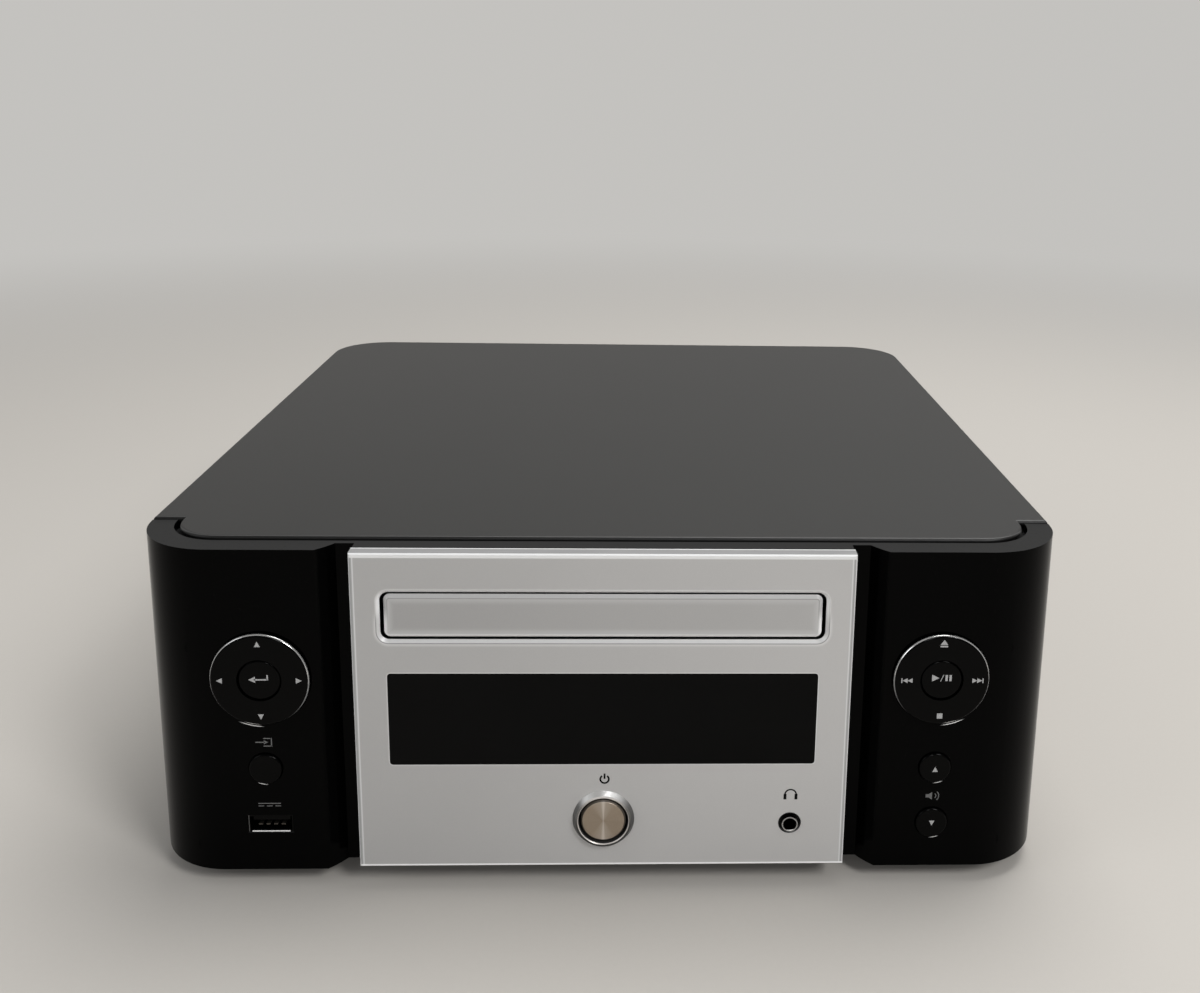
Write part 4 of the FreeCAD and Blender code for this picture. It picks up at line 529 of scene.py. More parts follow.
def spun_cap():
    f, colour, rough, normal, (a, b, radius) = spun_metal(
        "champagne_cap", grey(140, 0.22), grey(168, 0.20), power_hub, 0.30, 0.16)
    # The fan is a painted highlight through the centre.
    lean = a.size() / (b.size() + 0.4)
    streak = lean.step(0.16, 0.0) * 0.7 + lean.step(0.8, 0.1) * 0.3
    colour = f.blend(streak * 0.6, colour, grey(240, 0.06))
    # Beyond the edge radius the cap is painted darker, as painted shade of the gap round it.
    edge = radius.step(CAP_EDGE - 0.05, CAP_EDGE + 0.05)
    colour = f.blend(edge * 0.8, colour, grey(70, 0.1))
    return f.done(base_color=colour, metallic=1.0, roughness=rough + edge * 0.35, normal=normal)


def spun_ring():
    f, colour, rough, normal, (a, b, radius) = spun_metal(
        "turned_silver", grey(112, 0.01), grey(152, 0.0), power_hub, 0.30, 0.22)
    # The slope is painted light above and dark below, a painted reflection of the room, and the
    # inner edge is a thin painted highlight.
    height = b / radius
    colour = f.blend(height.step(0.45, 0.95) * 0.9, colour, grey(250))
    colour = f.blend(height.step(0.6, -0.4) * 0.8, colour, grey(62))
    line = (radius - RING_LIP).size().step(0.18, 0.09)
    colour = f.blend(line * 0.8, colour, grey(214, 0.06))
    return f.done(base_color=colour, metallic=1.0 - line * 0.7, roughness=rough, normal=normal)


dress(spun_cap(), "power_button")
dress(spun_ring(), "power_button_bezel")
print("the cap is dark beyond", CAP_EDGE, "mm and the ring is bright at", RING_LIP, "mm")

# %% [markdown]
# ## The other finishes
# Most pieces inside are plain workshop materials: zinc plated sheet, bright steel, aluminium,
# nickel, moulded black or white plastic, and rubber. Each kind has a short function, with the
# marks that its making leaves, and the pieces then take their finish by name.


# %% Plated sheet and bright metal
def zinc_sheet(name):
    f = Finish(name)
    cells = f.node("TexVoronoi", inputs={"Vector": f.place, "Scale": 0.16})
    spangle = f.node("TexVoronoi", inputs={"Vector": f.place, "Scale": 0.16}, output="Color")
    tone = f.parts(spangle)[0]
    colour = f.blend(tone, grey(150), grey(178, 0.01))
    rough = 0.34 + tone * 0.16 + f.noise(0.8, 4) * 0.08
    return f.done(base_color=colour, metallic=0.9, roughness=rough,
                  normal=f.bump(cells, 0.01, 0.15))


def bright_metal(name, level, warm=0.0, rough=0.22, stretch=(1, 1, 1), scale=1.2):
    f = Finish(name)
    draw = f.noise(scale, 4, stretch)
    tarnish = f.noise(0.25, 4).step(0.5, 0.85)
    colour = f.blend(draw * 0.5 + tarnish * 0.5, grey(level, warm), grey(level - 34, warm * 1.3))
    return f.done(base_color=colour, metallic=1.0, roughness=rough + draw * 0.10 + tarnish * 0.12,
                  normal=f.bump(draw, 0.006, 0.3))


dress(zinc_sheet("zinc_sheet"), "bottom_chassis", "loader_brackets", "clamp_bridge")
dress(bright_metal("screw_steel", 150, 0.0, 0.28), "screws")
dress(bright_metal("nickel", 205, 0.015), "antenna_jack")
dress(bright_metal("drawn_steel", 190, 0.0, 0.18, (1, 0.05, 1)), "guide_rods", "lead_screw")
dress(bright_metal("motor_can", 172, 0.0, 0.3, (0.1, 1, 1)), "loading_motor", "sled_motor",
      "spindle_motor", "network_jack")
dress(bright_metal("extruded_aluminium", 188, 0.0, 0.34, (1, 1, 0.04), 1.6), "heat_sink")
print(len(Finish.made), "finishes so far")

# %% Shells of the front sockets
LIP_HEIGHT, LIP_INSET, LIP_DEPTH, POST_WIDTH = 0.32, 0.9, 0.3, 0.2
RIM_WIDTH, THROAT_INSET = 0.28, 0.42


def port_shell(name, node):
    # The shell stands back in its opening: it is painted dark as painted shade, and the lower lip
    # is bright as a painted highlight.
    f = Finish(name)
    draw = f.noise(1.5, 3)
    along = (f.x - low(node).x).least(high(node).x - f.x)
    lip = (f.z - low(node).z).step(LIP_HEIGHT + 0.1, LIP_HEIGHT)
    lip = lip * along.step(LIP_INSET, LIP_INSET + 0.2)
    # The left post gets a faint painted highlight.
    post = (f.x - low(node).x).step(POST_WIDTH + 0.1, POST_WIDTH) * 0.12
    lip = lip.most(post) * (f.y - low(node).y).step(LIP_DEPTH + 0.2, LIP_DEPTH)
    colour = f.blend(lip, grey(14), grey(252))
    return f.done(base_color=colour, metallic=0.9 - lip * 0.7, roughness=0.2 + draw * 0.1,
                  normal=f.bump(draw, 0.005, 0.3))


def plug_sleeve(name, node):
    # Only the front rim of the sleeve shows nickel, and its side and its throat are painted dark,
    # as painted shade in the hole.
    # A painted glint lies on the lower lip of the throat.
    f = Finish(name)
    draw = f.noise(1.5, 3)
    hub, radius = hub_of(node), (high(node) - low(node)).x / 2
    front = (f.y - low(node).y).step(0.25, 0.12)
    rim = f.reach(hub).step(radius - RIM_WIDTH - 0.08, radius - RIM_WIDTH) * front
    glint = arc_of_light(f, hub, radius - THROAT_INSET, -85, 32)
    colour = f.blend(glint, f.blend(rim, grey(12), grey(186)), grey(250))
    return f.done(base_color=colour, metallic=1.0 - glint * 0.8, roughness=0.24 + draw * 0.1,
                  normal=f.bump(draw, 0.005, 0.3))


dress(port_shell("port_shell", "usb_port"), "usb_port")
dress(plug_sleeve("plug_sleeve", "phones_jack_sleeve"), "phones_jack_sleeve")
print("front sockets", [round(v, 1) for v in high("usb_port") - low("usb_port")], "mm and",
      [round(v, 1) for v in high("phones_jack_sleeve") - low("phones_jack_sleeve")], "mm")


# %% Moulded plastic and rubber
def moulded(name, level, rough=0.45, grain_mm=0.25, warm=0.0, colour=None, shine=0.5):
    f = Finish(name)
    grain = f.noise(1 / grain_mm, 2)
    flow = f.noise(0.05, 4)
    scuff = f.noise(0.5, 5).step(0.6, 0.8)
    first = colour or grey(level, warm)
    second = tuple(min(1.0, c * 1.25 + 0.004) for c in first[:3]) + (1,)
    tone = f.blend(flow * 0.6 + scuff * 0.4, first, second)
    return f.done(base_color=tone, roughness=rough + grain * 0.10 + scuff * 0.08,
                  normal=f.bump(grain, 0.02, 0.35), specular_ior_level=shine)


dress(moulded("socket_black", 22, 0.34), "ac_inlet")
dress(moulded("jack_black", 4, 0.4, shine=0.12), "phones_jack")
dress(moulded("foot_black", 24, 0.5, 0.5), "feet")
dress(moulded("pad_felt", 52, 0.9, 0.4, 0.01), "foot_pads")
dress(moulded("mechanism_black", 26, 0.48, 0.35), "loader_frame", "traverse_frame",
      "menu_ring_spider", "transport_ring_spider", "clamp_puck")
dress(moulded("tray_black", 20, 0.42, 0.3), "tray")
dress(moulded("gear_white", 214, 0.42, 0.3, 0.02), "cam_slider", "loading_gear",
      "loading_pulley_gear", "motor_pulley")
dress(moulded("switch_body", 40, 0.4), "tact_switches")
dress(moulded("pickup_grey", 66, 0.46), "laser_pickup")
dress(moulded("turntable_black", 30, 0.6, 0.5), "spindle_turntable")
dress(moulded("belt_rubber", 18, 0.75, 0.6), "loading_belt")
dress(smoked("lens_coat", 60), "objective_lens")
dress(moulded("terminal_red", 0, 0.3, 0.3, colour=(0.42, 0.012, 0.014, 1)), "terminal_cap_2",
      "terminal_cap_4")
dress(moulded("terminal_black", 20, 0.3, 0.3), "terminal_cap_1", "terminal_cap_3")
print(len(Finish.made), "finishes with the plastics")

# %% [markdown]
# ## Two materials in one moulding
# Some packed pieces hold two materials: the black block of the line sockets has gilt shells, and
# the black base of the loudspeaker terminals has gilt posts. A mask on the distance to the
# nearest axis tells the one from the other, and colour, roughness and metal all follow it.

# %% Sockets with metal shells
GILT = (0.78, 0.55, 0.26, 1)
POST_R, SHELL_R = 3.0, 4.15


def socket_mix(name, centres, radius, base_level):
    f = Finish(name)
    near = f.reach(centres[0])
    for centre in centres[1:]:
        near = near.least(f.reach(centre))
    mask = 1 - near.step(radius + 0.02, radius + 0.12)
    grain = f.noise(3.0, 3)
    plastic = f.blend(f.noise(0.06, 3), grey(base_level), grey(base_level + 9))
    bright = f.blend(grain, GILT, tuple(c * 0.8 for c in GILT[:3]) + (1,))
    return f.done(base_color=f.blend(mask, plastic, bright), metallic=mask,
                  roughness=0.42 - mask * 0.2 + grain * 0.08, normal=f.bump(grain, 0.01, 0.25))


posts = [hub_of("terminal_cap_%d" % number) for number in range(1, 5)]
dress(socket_mix("terminal_base", posts, POST_R, 24), "speaker_terminals")
mounts = {m["name"]: [v / MM for v in m["pos_m"]] for m in frame["record"]["mounts"]}
line_centres = [(place[0], place[2]) for name, place in mounts.items()
                if name.startswith("line_") and name.endswith("_shell")]
line_x, line_z = (sorted({centre[i] for centre in line_centres}) for i in (0, 1))
dress(socket_mix("line_sockets", line_centres, SHELL_R, 22), "rca_jacks")
print(len(posts), "loudspeaker posts and", len(line_centres), "line sockets")

# %% [markdown]
# ## Inside: boards, capacitors and transformer
# The boards are green lacquer over copper. The tracks are a grid of small steps, drawn here by a
# brick pattern whose edges are the gaps between the copper. The capacitors wear a black sleeve
# under a bare top, and the height tells the one from the other. The transformer is a stack of
# thin steel sheets, drawn by a wave that runs across it.

# %% Circuit board, can and core
PATTERN_SHIFT = 300, 300, 300


def circuit_board(name):
    # The shift keeps the zero of the pattern off the boards.
    f = Finish(name)
    shifted = f.node("VectorMath", {"operation": "ADD"}, {0: f.place, 1: PATTERN_SHIFT})
    track = f.node("TexBrick", {"offset": 0.37, "squash": 1.6, "squash_frequency": 3},
                   {"Vector": shifted, "Scale": 0.14, "Mortar Size": 0.05, "Mortar Smooth": 0.2},
                   output="Fac")
    haze = f.noise(0.3, 3)
    lacquer = f.blend(track, (0.010, 0.085, 0.030, 1), (0.004, 0.045, 0.016, 1))
    colour = f.blend(haze * 0.3, lacquer, (0.03, 0.12, 0.05, 1))
    return f.done(base_color=colour, roughness=0.3 + haze * 0.1,
                  normal=f.bump(track, 0.03, 0.4))


def can(name, top_z, level):
    f = Finish(name)
    top = f.z.step(top_z - 1.2, top_z - 1.0)
    stamp = f.noise(1.5, 3)
    colour = f.blend(top, grey(level), grey(190))
    return f.done(base_color=colour, metallic=top, roughness=0.35 + stamp * 0.1,
                  normal=f.bump(stamp, 0.01, 0.3))


def sheet_stack(name, level, sheet_mm):
    f = Finish(name)
    layer = (f.x * (2 * math.pi / sheet_mm)).wave() * 0.5 + 0.5
    stain = f.noise(0.3, 4)
    colour = f.blend(layer * 0.5 + stain * 0.5, grey(level - 16, 0.03), grey(level + 14))
    return f.done(base_color=colour, metallic=0.7, roughness=0.45 + stain * 0.15,
                  normal=f.bump(layer, 0.05, 0.5))


dress(circuit_board("board_lacquer"), "front_board", "main_board", "power_board")
dress(can("can_sleeve", high("capacitors").z, 24), "capacitors")
dress(sheet_stack("core_stack", 92, 0.5), "transformer")
finishes = list(Finish.made.values())
undressed = [name for name, node in nodes.items() if node.data.materials[0] not in finishes]
print("still undressed:", undressed or "no piece")

# %% [markdown]
# ## Printed signs
# The keys and labels carry small printed signs: triangles, bars, a power sign. Ink has hardly any
# thickness, so each sign is a thin slab that is sunk a little into the face that carries it. The
# outlines are written in millimetres about the sign's own centre, and one function lays any of
# them on any face. Signs on a key must ride with the key, so they are an object of their own.

# %% Outlines
ARC_STEPS = 28


def box_sign(x0, x1, z0, z1):
    return [(x0, z0), (x1, z0), (x1, z1), (x0, z1)]


def arrow(size, turn=0, x=0.0, z=0.0, tall=1.0):
    points = [(-size / 2, -size * tall / 2), (size / 2, -size * tall / 2), (0, size * tall / 2)]
    c, s = math.cos(math.radians(turn)), math.sin(math.radians(turn))
    return [(x + px * c - pz * s, z + px * s + pz * c) for px, pz in points]


def arc_sign(radius, width, start, end, x=0.0, z=0.0):
    # A stroke along an arc, as one closed outline: out along the rim and back along the inside.
    angles = [math.radians(start + (end - start) * i / ARC_STEPS) for i in range(ARC_STEPS + 1)]
    outer = [(a, radius + width / 2) for a in angles]
    inner = [(a, radius - width / 2) for a in reversed(angles)]
    return [[(x + r * math.cos(a), z + r * math.sin(a)) for a, r in outer + inner]]


def bar(x0, z0, x1, z1, width):
    along = Vector((x1 - x0, z1 - z0)).normalized() * width / 2
    side = Vector((-along.y, along.x))
    return [(x0 + side.x, z0 + side.y), (x0 - side.x, z0 - side.y),
            (x1 - side.x, z1 - side.y), (x1 + side.x, z1 + side.y)]


print("a stroke along an arc has", len(arc_sign(1, 0.2, 0, 90)[0]), "points")

# %% Printing
INK = 0.03


def in_scene(name, data):
    made = bpy.data.objects.new(name, data)
    bpy.context.scene.collection.objects.link(made)
    return made


def print_signs(name, body, material, face_y, signs):
    # signs is a list of (x, z, [outlines]) on a face whose depth is face_y, all in millimetres.
    mesh = bmesh.new()
    for cx, cz, outlines in signs:
        for outline in outlines:
            front, back = ([mesh.verts.new(at(cx + x, y, cz + z)) for x, z in outline]
                           for y in (face_y - INK, face_y + INK))
            mesh.faces.new(front)
            mesh.faces.new(back[::-1])
            for i in range(len(outline)):
                mesh.faces.new((front[i - 1], back[i - 1], back[i], front[i]))
    data = bpy.data.meshes.new(name)
    bmesh.ops.recalc_face_normals(mesh, faces=mesh.faces)
    mesh.to_mesh(data)
    mesh.free()
    made = in_scene(name, data)
    data.materials.append(material)
    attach(made, body)
    print(name, len(data.polygons), "faces")


def ink(name, level, shine=0.5):
    f = Finish(name)
    patch = f.noise(3.0, 3)
    colour = f.blend(patch, grey(level), grey(level * 0.88))
    return f.done(base_color=colour, roughness=0.5 + patch * 0.1, specular_ior_level=shine,
                  normal=f.bump(patch, 0.004, 0.3))


white_ink = ink("white_ink", 170)
dim_ink = ink("dim_ink", 98)
black_ink = ink("black_ink", 5, 0.1)
print("inks", [material.name for material in (white_ink, dim_ink, black_ink)])

# %% [markdown]
# ## Signs on the round keys
# The left key steers a menu, so it has four triangles, and its middle key confirms with a return
# arrow. The right key has eject at the top, stop at the bottom and skip at the sides, with play
# and pause in the middle.

# %% Signs on the keys
menu, transport = middle("menu_ring"), middle("transport_ring")
RING_Y, ENTER_Y, SMALL_Y = (low(key).y for key in ("menu_ring", "enter_button", "input_button"))
ORBIT = 11.7


def skip(turn):
    # Two triangles and a bar, which point to the right, or to the left when turn is -1.
    return [arrow(1.55, -90 * turn, -1.15 * turn), arrow(1.55, -90 * turn, 0.35 * turn),
            box_sign(*sorted((1.15 * turn, 1.5 * turn)), -0.78, 0.78)]


print_signs("menu_signs", "menu_ring_body", white_ink, RING_Y, [
    (menu.x + x * ORBIT, menu.z + z * ORBIT, [arrow(1.75, turn)])
    for x, z, turn in ((0, 1, 0), (0, -1, 180), (-1, 0, 90), (1, 0, -90))])
print_signs("enter_sign", "enter_button_body", white_ink, ENTER_Y, [
    (menu.x, menu.z + 0.6, [arrow(2.0, 90, -2.2, -0.4), bar(-1.6, -0.4, 2.4, -0.4, 0.45),
                            bar(2.4, -0.62, 2.4, 1.1, 0.45)])])
# Eject and the skips stand a little off the circle that the other signs keep to.
print_signs("transport_signs", "transport_ring_body", white_ink, RING_Y, [
    (transport.x, transport.z + ORBIT + 0.5, [arrow(2.3, 0, 0, 0.3, 0.72),
                                              box_sign(-1.15, 1.15, -1.3, -0.8)]),
    (transport.x, transport.z - ORBIT, [box_sign(-0.85, 0.85, -0.85, 0.85)]),
    (transport.x - ORBIT + 0.8, transport.z, skip(-1)),
    (transport.x + ORBIT - 0.5, transport.z, skip(1))])
print_signs("play_sign", "play_button_body", white_ink, ENTER_Y, [
    (transport.x, transport.z + 0.7, [arrow(2.2, -90, -1.9), bar(-0.35, -1.1, 0.55, 1.1, 0.22),
                                      box_sign(1.1, 1.8, -1.0, 1.0),
                                      box_sign(2.3, 3.0, -1.0, 1.0)])])
print_signs("volume_up_sign", "volume_up_body", white_ink, SMALL_Y, [
    (transport.x, middle("volume_up_button").z - 0.3, [arrow(1.7, 0)])])
print_signs("volume_down_sign", "volume_down_body", white_ink, SMALL_Y, [
    (transport.x, middle("volume_down_button").z, [arrow(1.7, 180)])])

# %% [markdown]
# ## Signs on the moulding and the plate
# The labels beside the keys are signs too: an arrow into a frame for the input key, a loudspeaker
# with two waves for the volume keys, the straight and dashed bars of direct current over the
# small rectangular socket. The plate has the power sign and a pair of headphones, in black ink.

# %% Labels
ABOVE_INPUT, ABOVE_USB, ABOVE_POWER, ABOVE_PHONES = 8.6, 6.5, 13.4, 9.6
input_z = middle("input_button").z
volume_z = (middle("volume_up_button").z + middle("volume_down_button").z) / 2 - 0.5
usb, power, phones = (middle(node) for node in ("usb_port", "power_button", "phones_jack_sleeve"))
cone = [(-1.7, -0.55), (-0.6, -1.3), (-0.6, 1.3), (-1.7, 0.55)]
waves = arc_sign(1.0, 0.28, -48, 48, -0.4) + arc_sign(1.9, 0.28, -48, 48, -0.4)
speaker = [box_sign(-2.6, -1.7, -0.55, 0.55), cone] + waves
into_frame = [bar(-2.7, 0, 0.1, 0, 0.35), arrow(1.3, -90, 0.5, 0),
              bar(-0.3, 1.25, 2.1, 1.25, 0.32), bar(-0.3, -1.25, 2.1, -1.25, 0.32),
              bar(2.1, -1.41, 2.1, 1.41, 0.32)]
dashes = [box_sign(x, x + 1.7, -0.5, -0.23) for x in (-3.4, -0.85, 1.7)]
direct_current = [box_sign(-3.4, 3.4, 0.35, 0.62)] + dashes
print_signs("wing_labels", "case_body", dim_ink, WING_Y, [
    (menu.x, input_z + ABOVE_INPUT, into_frame), (transport.x + 0.4, volume_z, speaker),
    (usb.x, usb.z + ABOVE_USB, direct_current)])
head_band = arc_sign(1.75, 0.46, 8, 172)
ears = [box_sign(-2.15, -1.25, -1.6, 0.25), box_sign(1.25, 2.15, -1.6, 0.25)]
power_sign = arc_sign(1.3, 0.56, 125, 415) + [box_sign(-0.28, 0.28, 0.1, 1.9)]
print_signs("plate_labels", "case_body", black_ink, PLATE_Y, [
    (power.x + 0.3, power.z + ABOVE_POWER, power_sign),
    (phones.x, phones.z + ABOVE_PHONES, head_band + ears)])

# %% [markdown]
# ## Signs on the rear
# The rear is a plain panel full of sockets, and each kind has its small white sign: a wave for
# the mains, plus and minus for the loudspeakers, triangles for the direction of the line sockets,
# a mast for the aerial and three linked boxes for the network.

# %% Rear signs
PANEL_Y, FLANGE_Y, ABOVE_POST = high("rear_panel").y, high("ac_inlet").y, 9.4
minus = [bar(-1.1, 0, 1.1, 0, 0.4)]
plus = minus + [bar(0, -1.1, 0, -0.2, 0.4), bar(0, 0.2, 0, 1.1, 0.4)]
print_signs("terminal_signs", "case_body", white_ink, FLANGE_Y,
            [(x, z + ABOVE_POST, minus if i % 2 == 0 else plus) for i, (x, z) in enumerate(posts)])
mains = arc_sign(1.1, 0.36, 20, 160, -1.0, -0.4) + arc_sign(1.1, 0.36, 200, 340, 1.0, 0.4)
mast = [bar(0, -2.2, 0, 2.0, 0.4), bar(0.25, -0.2, 2.0, 1.9, 0.4),
        bar(-0.25, -0.2, -2.0, 1.9, 0.4)]
linked = [box_sign(-0.9, 0.9, 0.9, 2.1), box_sign(-2.9, -1.3, -2.1, -0.9),
          box_sign(1.3, 2.9, -2.1, -0.9), bar(0, 0.9, 0, 0.15, 0.3), bar(-2.1, 0, 2.1, 0, 0.3),
          bar(-1.95, -0.15, -1.95, -0.9, 0.3), bar(1.95, -0.15, 1.95, -0.9, 0.3)]
line_signs = [(middle("rca_jacks").x, z, [arrow(2.2, 180), bar(-2.6, bar_z, 2.6, bar_z, 0.35)])
              for z, bar_z in ((line_z[-1] + 11.5, -1.9), (line_z[0] - 11, 1.9))]
socket_signs = [(middle(node).x, middle(node).z + rise, sign) for node, rise, sign in (
    ("ac_inlet", 12.5, mains), ("antenna_jack", 15.5, mast), ("network_jack", 11.5, linked),
    ("speaker_terminals", 16.0, speaker))]
print_signs("panel_signs", "case_body", white_ink, PANEL_Y, line_signs + socket_signs)

# %% [markdown]
# ## Repeats made by a node tree
# The sockets hold rows of small contacts: four in the rectangular front socket, eight in the
# network socket. The aerial socket has a thread, which is a row of rings, and coloured rings sit
# round the line sockets. Copying them by hand would hide the rule, so a Geometry Nodes tree
# places them: a line of points, one piece on each point, real meshes at the end because copies
# are lost in an export. A tree is written as two small tables, its nodes and its wires.

# %% Trees from tables
RING_SIDES, WIRE_SIDES = 40, 10
LINE = (("given", "Count", "line", "Count"), ("given", "Start", "line", "Start Location"),
        ("given", "Pitch", "line", "Offset"), ("line", "Mesh", "copies", "Points"),
        ("copies", "Instances", "real", "Geometry"), ("real", "Geometry", "paint", "Geometry"),
        ("given", "Finish", "paint", "Material"), ("paint", "Geometry", "out", "Geometry"))
LINE_NODES = {"given": "NodeGroupInput", "out": "NodeGroupOutput", "line": "GeometryNodeMeshLine",
              "copies": "GeometryNodeInstanceOnPoints", "real": "GeometryNodeRealizeInstances",
              "paint": "GeometryNodeSetMaterial"}
LINE_SIZES = {"Count": "Int", "Start": "Vector", "Pitch": "Vector", "Finish": "Material"}


def row_tree(name, sizes, kinds, wires):
    tree = bpy.data.node_groups.new(name, "GeometryNodeTree")
    for label, kind in {**LINE_SIZES, **sizes}.items():
        tree.interface.new_socket(label, in_out="INPUT", socket_type="NodeSocket" + kind)
    tree.interface.new_socket("Geometry", in_out="OUTPUT", socket_type="NodeSocketGeometry")
    made = {key: tree.nodes.new(kind) for key, kind in {**LINE_NODES, **kinds}.items()}
    for start, from_name, end, to_name in LINE + wires:
        tree.links.new(made[start].outputs[from_name], made[end].inputs[to_name])
    return tree, made


bars, _ = row_tree("bar_row", {"Size": "Vector"}, {"piece": "GeometryNodeMeshCube"},
                   (("given", "Size", "piece", "Size"), ("piece", "Mesh", "copies", "Instance")))
rings, parts = row_tree(
    "ring_row", {"Radius": "Float", "Wire": "Float"},
    {"path": "GeometryNodeCurvePrimitiveCircle", "wire": "GeometryNodeCurvePrimitiveCircle",
     "piece": "GeometryNodeCurveToMesh", "soft": "GeometryNodeSetShadeSmooth"},
    (("given", "Radius", "path", "Radius"), ("given", "Wire", "wire", "Radius"),
     ("path", "Curve", "piece", "Curve"), ("wire", "Curve", "piece", "Profile Curve"),
     ("piece", "Mesh", "soft", "Geometry"), ("soft", "Geometry", "copies", "Instance")))
parts["path"].inputs["Resolution"].default_value = RING_SIDES
parts["wire"].inputs["Resolution"].default_value = WIRE_SIDES
parts["copies"].inputs["Rotation"].default_value = (math.pi / 2, 0, 0)
print("trees", bars.name, rings.name)


# %% Growing a row
def grow(name, body, tree, **inputs):
    # Runs a node tree on an empty mesh, keeps the plain result and lets it ride on a body.
    seed = in_scene(name + ".seed", bpy.data.meshes.new(name + ".seed"))
    modifier = seed.modifiers.new("grow", "NODES")
    modifier.node_group = tree
    sockets = {s.name: s.identifier for s in tree.interface.items_tree if s.in_out == "INPUT"}
    for label, value in inputs.items():
        modifier[sockets[label]] = value
    result = seed.evaluated_get(bpy.context.evaluated_depsgraph_get())
    data = bpy.data.meshes.new_from_object(result)
    seed.modifiers.clear()
    bpy.data.objects.remove(seed)
    data.name = name
    made = in_scene(name, data)
    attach(made, body)
    print(name, len(data.polygons), "faces")


# %% Contacts
USB_PITCH, NETWORK_PITCH = 2.3, 1.02
network = middle("network_jack")
worn_gold = bright_metal("worn_gold", 96, 0.12, 0.4)
gold = bright_metal("contact_gold", 214, 0.22, 0.2)
grow("usb_contacts", "case_body", bars, Count=4, Pitch=at(USB_PITCH, 0, 0), Finish=worn_gold,
     Start=at(usb.x - 1.5 * USB_PITCH, low("usb_port").y + 3.6, usb.z - 0.9),
     Size=at(1.2, 5.0, 0.4))
grow("network_contacts", "case_body", bars, Count=8, Pitch=at(NETWORK_PITCH, 0, 0), Finish=gold,
     Start=at(network.x - 3.5 * NETWORK_PITCH, PANEL_Y - 6.5, network.z + 3.0),
     Size=at(0.42, 9.0, 0.3))

# %% Thread and coloured rings
THREAD_R, THREAD_WIRE, THREAD_PITCH = 4.75, 0.24, 0.95
RING_R, RING_WIRE = 4.65, 0.48
aerial = middle("antenna_jack")
grow("aerial_thread", "case_body", rings, Count=7, Pitch=at(0, THREAD_PITCH, 0),
     Start=at(aerial.x, PANEL_Y + 3.2, aerial.z), Finish=Finish.made["nickel"],
     Radius=THREAD_R * MM, Wire=THREAD_WIRE * MM)
white_plastic = moulded("ring_white", 205, 0.35, 0.3)
red_plastic = moulded("ring_red", 0, 0.35, 0.3, colour=(0.40, 0.012, 0.014, 1))
for name, row_z, plastic in (("left_line_rings", line_z[-1], white_plastic),
                             ("right_line_rings", line_z[0], red_plastic)):
    grow(name, "case_body", rings, Count=2, Pitch=at(line_x[-1] - line_x[0], 0, 0),
         Start=at(line_x[0], PANEL_Y + 0.1, row_z), Finish=plastic,
         Radius=RING_R * MM, Wire=RING_WIRE * MM)

# %% [markdown]
# ## The stage
# A photographer would set the receiver on a plain pale table that runs on into the distance. The
# floor keeps the object's shadow and turns into the backdrop further out. The world has two jobs:
# it is the pale backdrop for the camera and for reflections, and a quieter light for everything
# else. Reflections find it darker on the side that the front looks to, as in a real room.

# %% Floor
FLOOR = (0.50, 0.475, 0.44, 1)
BACKDROP = (0.55, 0.54, 0.52, 1)
NEAR, FAR = 450.0, 1500.0
FLOOR_HALF = 6.0


def floor_finish():
    # Paper within NEAR of the middle, and the colour of the backdrop from FAR on.
    f = Finish("floor_paper")
    tooth = f.noise(0.6, 3)
    colour = f.blend(tooth, FLOOR, tuple(c * 0.97 for c in FLOOR[:3]) + (1,))
    paper = f.node("BsdfDiffuse", inputs={"Color": colour})
    distant = f.node("Emission", inputs={"Color": BACKDROP})
    away = f.reach((0, 0), (f.x, f.y)).step(NEAR, FAR)
    whole = f.node("MixShader", inputs={0: away, 1: paper, 2: distant})
    f.node("OutputMaterial", inputs={"Surface": whole})
    return f.material


floor_data = bpy.data.meshes.new("floor")
floor_data.from_pydata([(x * FLOOR_HALF, y * FLOOR_HALF, 0)
                        for x, y in ((-1, -1), (1, -1), (1, 1), (-1, 1))], [], [(0, 1, 2, 3)])
floor = in_scene("floor", floor_data)
floor_data.materials.append(floor_finish())
floor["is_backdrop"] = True
print("floor", 2 * FLOOR_HALF, "m wide")

# %% World
SKY_COLOUR, SKY_STRENGTH = (0.95, 0.97, 1.0, 1), 0.34
FRONT_SHARE = 0.3


class Sky(Finish):
    # The world has a node tree too, and takes the same methods as a finish.
    def __init__(self, name):
        world = bpy.data.worlds.new(name)
        bpy.context.scene.world = world
        world.use_nodes = True
        self.tree = world.node_tree
        self.tree.nodes.clear()


sky = Sky("studio")
ray = {kind: sky.node("LightPath", output="Is %s Ray" % kind)
       for kind in ("Camera", "Glossy", "Transmission")}
behind = sky.parts(sky.node("TexCoord", output="Generated"))[1].step(-0.8, 0.4)
mirrored = behind * (1 - FRONT_SHARE) + FRONT_SHARE
pale = ray["Camera"].most(ray["Transmission"]).most(ray["Glossy"] * mirrored)
seen = ray["Camera"].most(ray["Transmission"]).most(ray["Glossy"])
lit = sky.node("Background", inputs={"Color": SKY_COLOUR, "Strength": SKY_STRENGTH})
backdrop = sky.node("Background", inputs={"Color": BACKDROP, "Strength": pale})
whole = sky.node("MixShader", inputs={0: seen, 1: lit, 2: backdrop})
sky.node("OutputWorld", inputs={"Surface": whole})
print("world", bpy.context.scene.world.name, "with", len(sky.tree.nodes), "nodes")

# %% [markdown]
# ## Soft light
# In the photograph the light comes down from above and a little from the right, soft enough to
# leave no hard shadow. One wide lamp overhead does most of the work. A smaller one high in front
# on the right lights the front, a weak one on the left keeps that wing from going flat, and a
# small one straight ahead puts a spark on rounded edges. All of them look at the heart of the
# receiver.

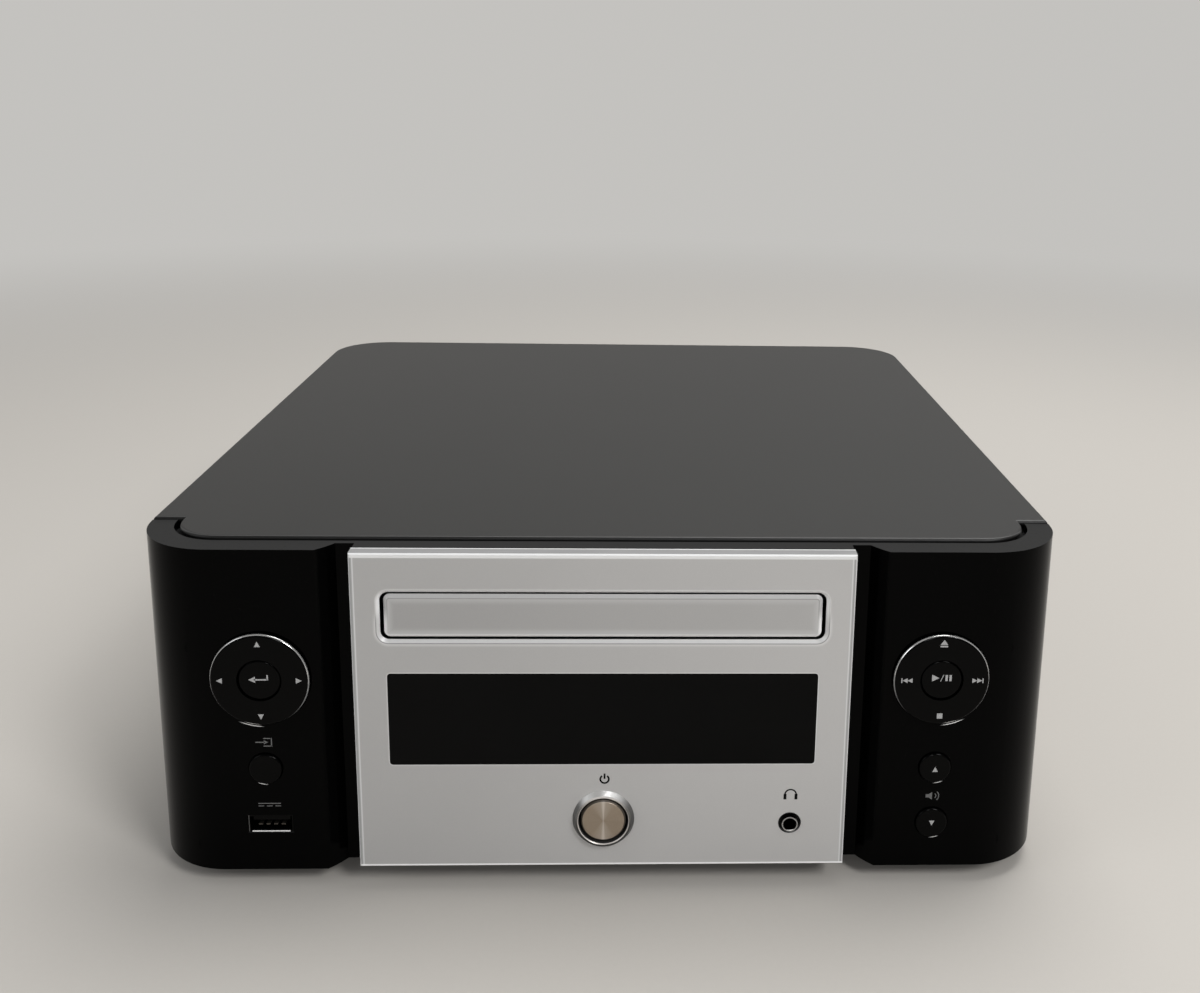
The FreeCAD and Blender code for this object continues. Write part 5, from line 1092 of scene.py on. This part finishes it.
# %% Lamps
HEART = Vector((0.0, 0.0, 0.06))


def lamp(name, place, size, power_w, colour=(1, 1, 1)):
    data = bpy.data.lights.new(name, "AREA")
    data.shape, data.size, data.energy, data.color = "DISK", size, power_w, colour
    made = in_scene(name, data)
    made.location = place
    made.rotation_euler = (HEART - Vector(place)).to_track_quat("-Z", "Y").to_euler()
    print("lamp", name, "of", power_w, "W")


lamp("overhead", (0.35, 0.35, 1.5), 1.3, 20, (1.0, 0.995, 0.985))
lamp("high_front", (0.85, -1.15, 1.15), 0.55, 13)
lamp("left_fill", (-1.3, -0.7, 0.8), 0.9, 3, (0.96, 0.98, 1.0))
lamp("spark", (0.06, -1.4, 0.62), 0.25, 2.4)
bpy.context.scene.view_settings.view_transform = "Standard"

# %% [markdown]
# ## The camera
# The camera stands where the photographer stood: just above and before the receiver, a little to
# the right of its middle, with a mild wide angle. The lens looks over the receiver rather than
# straight at it, which keeps upright edges nearly upright, and a small lens shift brings the
# receiver back into the frame.

# %% Camera
CAMERA_PLACE = Vector((8.1, -495.0, 246.7)) * MM
YAW, PITCH, ROLL = 0.0405, 0.2163, -0.0187
LENS_MM, SHIFT_X, SHIFT_Y = 37.56, -0.07, -0.12
level = Vector((math.sin(YAW), math.cos(YAW), 0))
ahead = Vector((level.x * math.cos(PITCH), level.y * math.cos(PITCH), -math.sin(PITCH)))
right = Vector((level.y, -level.x, 0))
down = ahead.cross(right)
rolled_right = math.cos(ROLL) * right + math.sin(ROLL) * down
rolled_up = math.sin(ROLL) * right - math.cos(ROLL) * down
camera_data = bpy.data.cameras.new("camera")
camera_data.lens, camera_data.shift_x, camera_data.shift_y = LENS_MM, SHIFT_X, SHIFT_Y
camera = in_scene("camera", camera_data)
turn = Matrix((rolled_right, rolled_up, -ahead)).transposed().to_4x4()
camera.matrix_world = Matrix.Translation(CAMERA_PLACE) @ turn
bpy.context.scene.camera = camera
print("camera at", [round(v, 3) for v in CAMERA_PLACE])

# %% [markdown]
# ## The two boxes
# The box of the packed model and the box of the dressed receiver are kept side by side, and the
# size of the dressed one is printed.

# %% Boxes and finish
boxes = {"cad": [list(corner) for corner in cad_box],
         "dressed": [list(corner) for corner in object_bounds()]}
print("size", [round((b - a) / MM, 1) for a, b in zip(*boxes["dressed"])], "mm")
